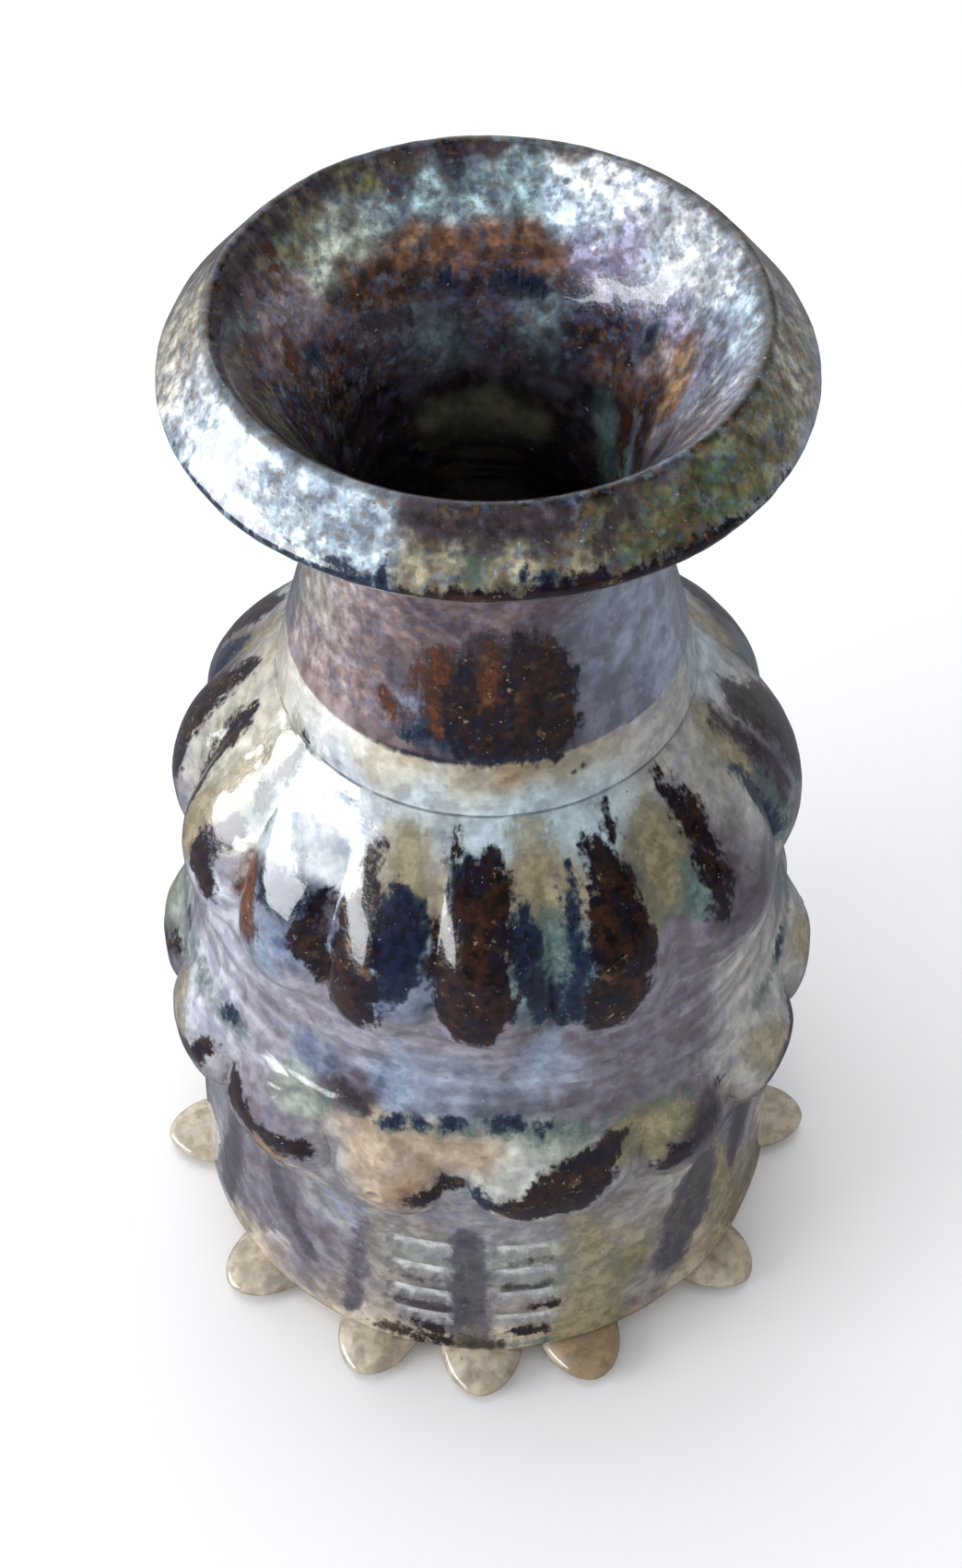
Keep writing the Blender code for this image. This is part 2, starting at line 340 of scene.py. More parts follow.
def bore_relief(points):
    deep = smoothstep(HEIGHT - 12, HEIGHT - 22, points[:, 2])
    rings = throwing_lines(points, 3.2, 41)
    return rings * (0.10 + 0.30 * deep) + 0.10 * fractal(points, 7.0, 51)


# ---------------------------------------------------------------- meshes

def make_mesh(name, points, faces, smooth_angle=50.0):
    mesh = bpy.data.meshes.new(name)
    mesh.from_pydata((points * MM).tolist(), [], faces)
    mesh.validate()
    mesh.shade_smooth()
    mesh.set_sharp_from_angle(angle=math.radians(smooth_angle))
    obj = bpy.data.objects.new(name, mesh)
    bpy.context.scene.collection.objects.link(obj)
    return obj


def turned_grid(profile, columns=COLUMNS):
    """Points (rows x columns x 3) of a profile turned about Z, and their outward normals."""
    along = np.gradient(profile, axis=0)
    along /= np.linalg.norm(along, axis=1)[:, None]
    angle = np.radians(np.arange(columns) * 360 / columns)
    x, y = np.sin(angle), -np.cos(angle)
    points = np.stack([profile[:, :1] * x, profile[:, :1] * y,
                       np.repeat(profile[:, 1:], columns, axis=1)], axis=-1)
    side = np.column_stack([-along[:, 1], along[:, 0]])
    normals = np.stack([side[:, :1] * x, side[:, :1] * y,
                        np.repeat(side[:, 1:], columns, axis=1)], axis=-1)
    return points, normals


def band_faces(rows, columns, bands):
    """Quads between the rows of a grid that closes round, for the first so many bands."""
    faces = []
    for i in range(bands):
        a, b = i * columns, (i + 1) % rows * columns
        for j in range(columns):
            k = (j + 1) % columns
            faces.append((a + j, b + j, b + k, a + k))
    return faces


def turned_points(profile, shape):
    """A profile turned about Z and pushed out along its normals by its relief."""
    points, normals = (grid.reshape(-1, 3) for grid in turned_grid(profile))
    return points + normals * shape(points)[:, None]


def shell(name, outer, inner, outer_shape, inner_shape):
    """A closed turned wall: the outer profile runs down and the inner one back up."""
    points = np.vstack([turned_points(outer, outer_shape), turned_points(inner, inner_shape)])
    rows = len(outer) + len(inner)
    return make_mesh(name, points, band_faces(rows, COLUMNS, rows)), points


def outer_slice(top, bottom, spacing=0.45):
    """The part of the shared outer wall between two heights, from top to bottom."""
    inside = BODY_CURVE[(BODY_CURVE[:, 1] < top) & (BODY_CURVE[:, 1] > bottom)]
    ends = [[body_radius(top), top]], [[body_radius(bottom), bottom]]
    return spline(np.vstack([ends[0], inside[5:-5:10], ends[1]]), spacing)


def inner_slice(bottom, top, spacing=2.0):
    """The same wall one wall thickness further in, from bottom to top."""
    return outer_slice(top, bottom, spacing)[::-1] - [WALL, 0]


def capped_solid(name, profile, shape):
    """A turned solid whose profile runs from the axis out, round and back to the axis."""
    wall = turned_points(profile[1:-1], shape)
    rows = len(profile) - 2
    top, bottom = len(wall), len(wall) + 1
    points = np.vstack([wall, [[0, 0, profile[0, 1]]], [[0, 0, profile[-1, 1]]]])
    faces = band_faces(rows, COLUMNS, rows - 1)
    last = (rows - 1) * COLUMNS
    for j in range(COLUMNS):
        k = (j + 1) % COLUMNS
        faces.append((top, j, k))
        faces.append((bottom, last + k, last + j))
    return make_mesh(name, points, faces)


def polar_patch(rings, spokes):
    """Unit disc as rings and spokes: u across, v up, and the middle point last."""
    angle = np.arange(spokes) * math.tau / spokes
    share = np.arange(1, rings + 1) / rings
    u = np.append((share[:, None] * np.sin(angle)).ravel(), 0.0)
    v = np.append((share[:, None] * np.cos(angle)).ravel(), 0.0)
    return u, v


def patch_faces(rings, spokes):
    """Faces of a polar patch, closed behind by a second rim and middle point."""
    count = rings * spokes
    rim, behind, middle = count - spokes, count + 1, count + 1 + spokes
    faces = band_faces(rings, spokes, rings - 1)
    for j in range(spokes):
        k = (j + 1) % spokes
        faces.append((count, j, k))
        faces.append((rim + j, behind + j, behind + k, rim + k))
        faces.append((behind + j, middle, behind + k))
    return faces


def on_wall(radius, azimuth, z):
    angle = np.radians(azimuth)
    return np.column_stack([radius * np.sin(angle), -radius * np.cos(angle), z])


def petal(name, azimuth, z, width, tall, proud):
    """Clay pressed on the belt: smoothed into the wall above, with a crisp lower edge."""
    rings, spokes = 26, 104
    u, v = polar_patch(rings, spokes)
    q = np.clip(np.hypot(u, v), 1e-6, 1)
    low = smoothstep(0.75, -0.35, v / q)
    heights = z + v * tall / 2
    base = wall_radius(heights)
    around = azimuth + np.degrees(u * width / 2 * (1 - 0.16 * v) / base)
    dome = (1 - q * q) ** (1.7 - 1.3 * low)
    swell = dome * (1 - 0.30 * v)
    flat = on_wall(base, around, heights)
    lumps = 0.22 * fractal(flat, 5.0, 61) * (1 - q ** 4)
    face = on_wall(base + outer_relief(flat) + proud * swell + lumps - 0.05, around, heights)
    back = on_wall(base - 1.2, around, heights)
    count = rings * spokes
    points = np.vstack([face, back[count - spokes:count], back[-1:]])
    return make_mesh(name, points, patch_faces(rings, spokes)), points


def tooth(name, azimuth, z, width, tall, tip):
    """Foot knob: a flat pellet squeezed out from under the drum to a rounded point."""
    rings, spokes = 30, 56
    root = FOOT_R - 1.6
    share = np.sin(np.linspace(0, 0.5 * math.pi, rings))
    angle = np.arange(spokes) * math.tau / spokes
    s = np.repeat(share, spokes)
    a = np.tile(angle, rings)
    half_width = 0.5 * width * np.clip(1 - s ** 2.1, 0, 1) ** 0.58 * (1 - 0.12 * s)
    half_tall = 0.5 * tall * np.clip(1 - s ** 2.6, 0, 1) ** 0.55 * (0.80 + 0.20 * s)
    across = half_width * np.sign(np.sin(a)) * np.abs(np.sin(a)) ** 0.85
    height = z - 0.25 * (1 - s) + half_tall * np.sign(np.cos(a)) * np.abs(np.cos(a)) ** 0.85
    out = root + (tip - root) * s
    points = on_wall(out, azimuth + np.degrees(across / DRUM_R), np.maximum(height, 0.02))
    lumps = 0.30 * fractal(points, 4.0, 91) * smoothstep(0.0, 0.8, points[:, 2])
    points[:, 2] += lumps * smoothstep(0.3, 0.6, s)
    faces = [tuple(range(spokes))] + band_faces(rings, spokes, rings - 2)
    points = np.vstack([points[:-spokes], [points[-spokes:].mean(axis=0)]])
    end = len(points) - 1
    faces += [(end - spokes + j, end, end - spokes + (j + 1) % spokes) for j in range(spokes)]
    return make_mesh(name, points, faces), points


# ---------------------------------------------------------------- glaze washes

# Tones of the soft washes, as screen colours: a main colour and the one it breaks into
TONES = {
    "white": ((216, 221, 225), (182, 191, 203)), "ice": ((190, 206, 218), (156, 172, 188)),
    "bone": ((212, 208, 194), (176, 172, 160)), "cream": ((206, 202, 184), (178, 166, 140)),
    "mist": ((200, 218, 224), (176, 192, 198)), "drab": ((186, 182, 176), (160, 158, 156)),
    "stone": ((166, 162, 150), (132, 130, 122)), "sand": ((176, 166, 144), (148, 140, 122)),
    "ochre": ((166, 144, 112), (146, 128, 100)), "straw": ((162, 156, 130), (110, 104, 86)),
    "mustard": ((140, 132, 92), (118, 112, 84)), "olive": ((124, 122, 100), (92, 92, 74)),
    "moss": ((72, 76, 58), (96, 94, 66)), "fern": ((82, 104, 76), (104, 104, 70)),
    "bark": ((88, 80, 68), (40, 34, 30)), "umber": ((74, 46, 34), (40, 26, 22)),
    "soot": ((44, 36, 38), (28, 20, 22)), "night": ((40, 36, 58), (30, 22, 30)),
    "rust": ((104, 72, 54), (66, 48, 46)), "amber": ((168, 136, 100), (124, 88, 62)),
    "rose": ((164, 150, 152), (140, 120, 118)), "mauve": ((122, 106, 108), (92, 78, 84)),
    "plum": ((94, 86, 98), (74, 64, 72)), "dusk": ((82, 80, 96), (60, 52, 60)),
    "slate": ((122, 126, 140), (100, 102, 114)), "steel": ((156, 164, 180), (136, 142, 158)),
    "denim": ((128, 142, 164), (86, 96, 124)), "lilac": ((160, 154, 180), (124, 118, 148)),
    "heather": ((132, 128, 138), (112, 104, 112)), "lavender": ((152, 150, 160), (124, 121, 132)),
    "haze": ((158, 157, 160), (132, 130, 136)), "warm": ((160, 152, 146), (130, 122, 118)),
    "sage": ((158, 166, 156), (130, 136, 126)), "teal": ((132, 154, 156), (90, 104, 112)),
    "peach": ((182, 166, 146), (158, 140, 120)), "grey": ((196, 196, 188), (164, 166, 160)),
    "pearl": ((196, 198, 206), (160, 162, 174)), "clay": ((204, 192, 172), (176, 163, 143)),
    "snow": ((244, 242, 232), (226, 224, 216)),
}

# Where the washes lie on the outside: tone, then (azimuth, height, reach) of each. The pale ice,
# bone, snow, white and pearl washes on the left, from about -90 to -20 degrees, are pale glaze with
# the window's light and highlight painted into them.
OUTER_WASHES_AND_LIGHT = {
    "ice": [(-62, 146, 5), (-48, 146, 5), (-34, 146, 5), (-23, 146, 3), (-16, 100, 3),
            (-6, 97.5, 3)],
    "bone": [(-80, 147, 4), (-88, 145, 5), (-70, 120, 6), (-86, 90, 5), (-60, 97, 4), (-66, 88, 3)],
    "snow": [(-66, 103, 4), (-52, 103.4, 3), (-40, 103.6, 2.4), (-78, 102, 4)],
    "white": [(-60, 100, 4), (-46, 100, 3), (-38, 97, 4), (-46, 95, 4), (-70, 148, 3)],
    "bark": [(-12, 148.5, 2), (0, 148.5, 2.4), (12, 148.5, 2.2), (26, 148.6, 2.0), (-150, 146, 5)],
    "straw": [(-11, 145, 2.4), (0, 145.5, 2.4), (9, 145, 2.4), (17, 144.6, 2)],
    "moss": [(28, 146, 3), (36, 147, 3), (32, 143.5, 2.4), (-2, 143, 1.6), (60, 149, 2)],
    "fern": [(23, 146, 2), (46, 146, 3), (50, 144.5, 2.4)],
    "olive": [(56, 147, 3), (64, 146, 4), (41, 92, 3), (39, 88, 2.6), (150, 146, 5),
              (-120, 146, 4)],
    "stone": [(78, 146, 5), (95, 146, 6), (125, 146, 6), (66, 94, 3), (180, 146, 5)],
    "rose": [(-54, 122, 4), (-46, 114, 4), (-60, 110, 4), (-40, 126, 4)],
    "mauve": [(-32, 120, 4), (-22, 124, 4), (-28, 110, 3.5), (-8, 126, 4),
              (6, 127, 3.4), (18, 126, 3)],
    "dusk": [(-22, 113, 2.6), (-14, 109, 2.4), (-41, 86, 2.4), (39, 46, 2.6)],
    "umber": [(-12, 115, 3), (-4, 118, 3), (16, 118, 3), (20, 111, 3)],
    "night": [(0, 109, 2.4), (9, 110, 2.6), (10, 117, 2)],
    "slate": [(33, 118, 5), (38, 110, 4), (120, 118, 8), (-110, 118, 8), (0, 61.5, 3), (60, 32, 4)],
    "steel": [(52, 118, 5), (66, 118, 6), (85, 118, 8), (160, 118, 9), (-6, 64, 4), (12, 66, 3)],
    "cream": [(-30, 102.5, 3), (-22, 104, 2), (-8, 101, 3), (-75, 100, 5), (-16, 96.5, 2.4)],
    "sand": [(-4, 104, 1.8), (22, 104, 2.4), (34, 104, 2.6), (-17, 93, 3), (13, 90, 2.6),
             (20, 14, 4), (22, 26, 3), (52, 14, 4)],
    "peach": [(-20, 49, 3.4), (-17, 45, 3.0), (-8, 52.8, 2.4), (-1, 52.2, 2.0)],
    "grey": [(7, 50.0, 3), (5, 45.5, 2.4), (14, 49.6, 2.2)],
    "ochre": [(8, 103.4, 2.2), (12, 93.5, 2.4), (-74, 82, 3), (50, 26, 3), (54, 8, 4), (20, 5, 3)],
    "mist": [(0, 97.4, 2.4), (-9, 97.6, 2.4), (5, 98, 2.4), (15, 97.5, 3), (24, 97.5, 3),
             (33, 99, 3), (12, 100.5, 2)],
    "drab": [(48, 103, 4), (64, 102, 5), (45, 98, 4), (62, 98, 4), (62, 89, 4), (85, 100, 6),
             (66, 70, 5), (58, 60, 4), (60, 50, 4), (76, 30, 5), (36, 34, 3), (-8, 95.5, 2)],
    "denim": [(-42, 81, 3), (-15, 81, 2.4), (-16, 63, 2.6), (9, 69, 2.2), (-34, 61, 2.6)],
    "plum": [(53, 88, 3.4), (55, 82, 3.4), (80, 88, 5), (-28, 58.5, 2.4), (-10, 14, 3)],
    "lavender": [(-34, 72, 4), (-22, 71, 3.4), (-44, 68, 4), (-30, 66, 3), (24, 74, 3),
                 (-50, 60, 4)],
    "heather": [(-42, 49, 3), (-48, 44, 3), (-8, 72, 3.4), (3, 71, 3.4), (22, 70, 4),
                (34, 72, 4), (24, 62, 4), (36, 62, 4), (38, 78, 3), (-42, 26, 3.4),
                (-36, 16, 3.4), (-46, 34, 3), (-14, 38, 2.4), (-56, 18, 4), (-58, 30, 4),
                (-30, 22, 3), (-44, 9, 3)],
    # pearl on the left of the waist and drum: pale glaze with painted window light
    "pearl": [(-75, 72, 6), (-60, 66, 5), (-70, 50, 6), (-76, 30, 6), (-76, 14, 6), (-56, 78, 3)],
    "teal": [(14, 86, 2.2), (13, 81, 2.2), (-57, 92, 2), (44, 86, 2), (-6, 94.5, 1.6)],
    "sage": [(12, 52.5, 2), (-36, 55, 2.4), (14, 20, 3), (6, 24, 3), (-13, 25, 3)],
    "amber": [(-14.5, 45.5, 2), (-50, 81, 2.2), (-42, 43, 1.6)],
    "mustard": [(30, 50.5, 2.6), (27, 17, 2.2)],
    "haze": [(-5, 42, 3), (-28, 46, 3), (-26, 36, 3.4), (0, 34, 3), (-54, 42, 4),
             (24, 40, 3), (14, 34, 3), (-32, 30, 3)],
    "warm": [(-18, 30, 3.4), (-20, 20, 3.4), (-28, 12, 3.4), (30, 40, 3.4), (28, 32, 3.4),
             (5, 16, 3), (46, 42, 3), (34, 12, 3)],
    "clay": [(-84, 2, 5), (-50, 2, 5), (-23, 1, 5), (-1, 1, 5), (52, 1, 5), (88, 2, 5)],
}

# The same inside the mouth, from the crest down the funnel and into the throat. The white, ice and
# lilac washes high on the far right wall, from about 85 to 160 degrees, are painted light from the
# window, and the lilac ones also a painted reflection of it.
INNER_WASHES_AND_LIGHT = {
    "bark": [(-92, 147.5, 2.6), (-75, 147, 3), (-115, 148.5, 2.4), (-135, 148.5, 2),
             (180, 149.4, 1.4), (-160, 149.2, 1.6), (160, 149.4, 1.2), (-100, 139.5, 2)],
    "moss": [(-60, 146, 3), (-45, 146, 3), (-125, 147, 2.4), (-150, 148.8, 1.4), (-30, 148, 3)],
    "night": [(-175, 147.8, 1.6), (-158, 147.4, 1.6), (178, 137, 2.4), (-165, 136.5, 2.4),
              (150, 136.5, 2.4), (130, 137, 2), (-142, 145.6, 1.4)],
    "teal": [(172, 146.2, 2), (-176, 145.6, 2), (-165, 145.4, 2), (-152, 145, 2), (160, 134, 2.4),
             (124, 128, 1.8), (-160, 133, 2.4), (100, 125, 1.6)],
    "sage": [(-140, 145, 2.2), (-130, 143.8, 2.2), (-146, 143.6, 1.8)],
    # white, ice and lilac on the far right wall: painted window light, with a painted reflection of
    # the window in the lilac
    "white": [(156, 148.4, 2), (146, 147.8, 2.4), (134, 147.8, 2.6), (122, 147.6, 2.8),
              (110, 147, 2.6), (118, 144.8, 2)],
    "ice": [(160, 145.4, 2), (150, 145, 2.2), (98, 147, 3), (84, 146.5, 3), (128, 142.6, 1.8)],
    "lilac": [(148, 142.6, 2), (138, 141.4, 2.2), (140, 145.6, 1.6), (126, 140.6, 2.2),
              (114, 141.6, 2), (92, 143.4, 2.4)],
    "pearl": [(70, 146.5, 3), (58, 147, 3), (76, 142, 2.6), (44, 148, 3), (20, 148.5, 3)],
    "haze": [(60, 142, 3), (40, 144, 3.4), (10, 146, 4)],
    "rust": [(-136, 142, 1.8), (-152, 142, 2), (-166, 141.2, 2), (180, 141, 2), (170, 141.4, 1.8),
             (158, 140.2, 1.5), (130, 133.4, 1.8), (116, 132, 1.8), (104, 134.4, 2), (74, 137, 2.4),
             (90, 131, 2)],
    "amber": [(-157, 142.8, 1.0), (98, 140, 1.8), (90, 137.6, 1.8), (168, 142.4, 0.8)],
    "mauve": [(-108, 144.4, 2.6), (-101, 142, 2.4), (-116, 142, 2.2), (-96, 144.6, 2)],
    "rose": [(-100, 140.5, 1.6), (112, 137.5, 2), (80, 134, 2), (66, 132, 2.4)],
    "umber": [(-145, 138.6, 2.2), (-126, 138.6, 2.4), (-110, 136, 2.4), (168, 137.6, 1.8),
              (110, 129, 2)],
    "dusk": [(144, 133.5, 2.4), (170, 134, 2.2), (120, 136, 1.8), (-178, 133.6, 2),
             (-140, 134, 2.4), (178, 130, 2.4), (150, 129, 2.4), (-150, 131, 2.4)],
    "soot": [(-98, 134, 4), (-130, 130, 3), (-170, 127, 2.4), (160, 126, 2.4), (-60, 136, 5),
             (-20, 138, 5), (20, 138, 5), (60, 130, 4), (135, 128, 2.4)],
    "olive": [(-178, 123.5, 2), (165, 123, 1.6), (-165, 123, 1.6)],
}

# Bands of washes strewn round the unseen sides and back: height, spacing, reach and tones
BACK_BANDS = [
    (97.5, 12, 3.4, ["mist", "cream", "drab", "ice"]),
    (102.5, 12, 3.0, ["cream", "sand", "ice", "ochre"]),
    (90.0, 11, 3.2, ["sand", "olive", "plum", "drab", "dusk"]),
    (83.5, 10, 3.2, ["plum", "denim", "drab", "teal", "heather"]),
    (76.0, 11, 3.6, ["heather", "lavender", "denim", "drab"]),
    (68.0, 12, 4.0, ["heather", "lavender", "haze", "steel"]),
    (60.5, 12, 3.6, ["slate", "lavender", "steel", "heather"]),
    (52.0, 12, 3.4, ["sand", "sage", "haze", "drab"]),
    (44.5, 11, 3.4, ["sand", "haze", "mustard", "warm", "dusk"]),
    (36.0, 12, 3.6, ["haze", "warm", "heather"]),
    (27.0, 12, 3.8, ["warm", "haze", "sage", "slate"]),
    (17.0, 12, 3.8, ["warm", "heather", "sand", "sage"]),
    (8.0, 11, 3.6, ["warm", "sand", "drab", "slate"]),
    (1.5, 13, 3.6, ["clay", "sand", "clay"]),
    (146.0, 12, 3.6, ["olive", "stone", "moss", "straw", "drab"]),
    (120.0, 22, 7.0, ["mauve", "slate", "steel", "plum"]),
]
FRONT_LIMIT = 76


def gather_washes(washes):
    """(azimuth, height, reach, tone) of every wash in a table."""
    return [(*spot, tone) for tone, spots in washes.items() for spot in spots]


def back_washes():
    rng = np.random.default_rng(3)
    found = []
    for height, step, reach, tones in BACK_BANDS:
        for azimuth in np.arange(FRONT_LIMIT + step, 360 - FRONT_LIMIT, step):
            tone = tones[rng.integers(len(tones))]
            found.append((azimuth + rng.uniform(-4, 4), height + rng.uniform(-1.5, 1.5),
                          reach * rng.uniform(0.8, 1.2), tone))
    return found


def wash_colors(points, washes, radius_at):
    """Blend of the washes at every point: the main colours and the ones they break into."""
    totals = np.zeros((len(points), 7))
    for azimuth, z, reach, tone in washes:
        spot = on_wall(radius_at(z), azimuth, np.array([z]))[0]
        gap = ((points - spot) ** 2).sum(axis=1) / reach ** 2
        near = gap < 16
        weight = np.exp(-0.9 * gap[near]) + 0.0005 / (0.3 + gap[near]) ** 2
        first, second = (linear(*color) for color in TONES[tone])
        totals[near, 0:3] += weight[:, None] * first
        totals[near, 3:6] += weight[:, None] * second
        totals[near, 6] += weight
    totals[:, 6] = np.maximum(totals[:, 6], 1e-9)
    blend = totals[:, :6] / totals[:, 6:]
    return blend[:, :3], blend[:, 3:]


def linear(red, green, blue):
    """Linear colour from screen values 0 to 255."""
    return tuple(((c / 255 + 0.055) / 1.055) ** 2.4 if c > 10 else c / 255 / 12.92
                 for c in (red, green, blue))


def wander(points, reach, size, seed):
    """The points moved by soft noise, so that edges of washes and strokes wander."""
    shift = [fractal(points, size, seed + 10 * axis) for axis in range(3)]
    return points + reach * np.column_stack(shift)


# ---------------------------------------------------------------- glaze strokes

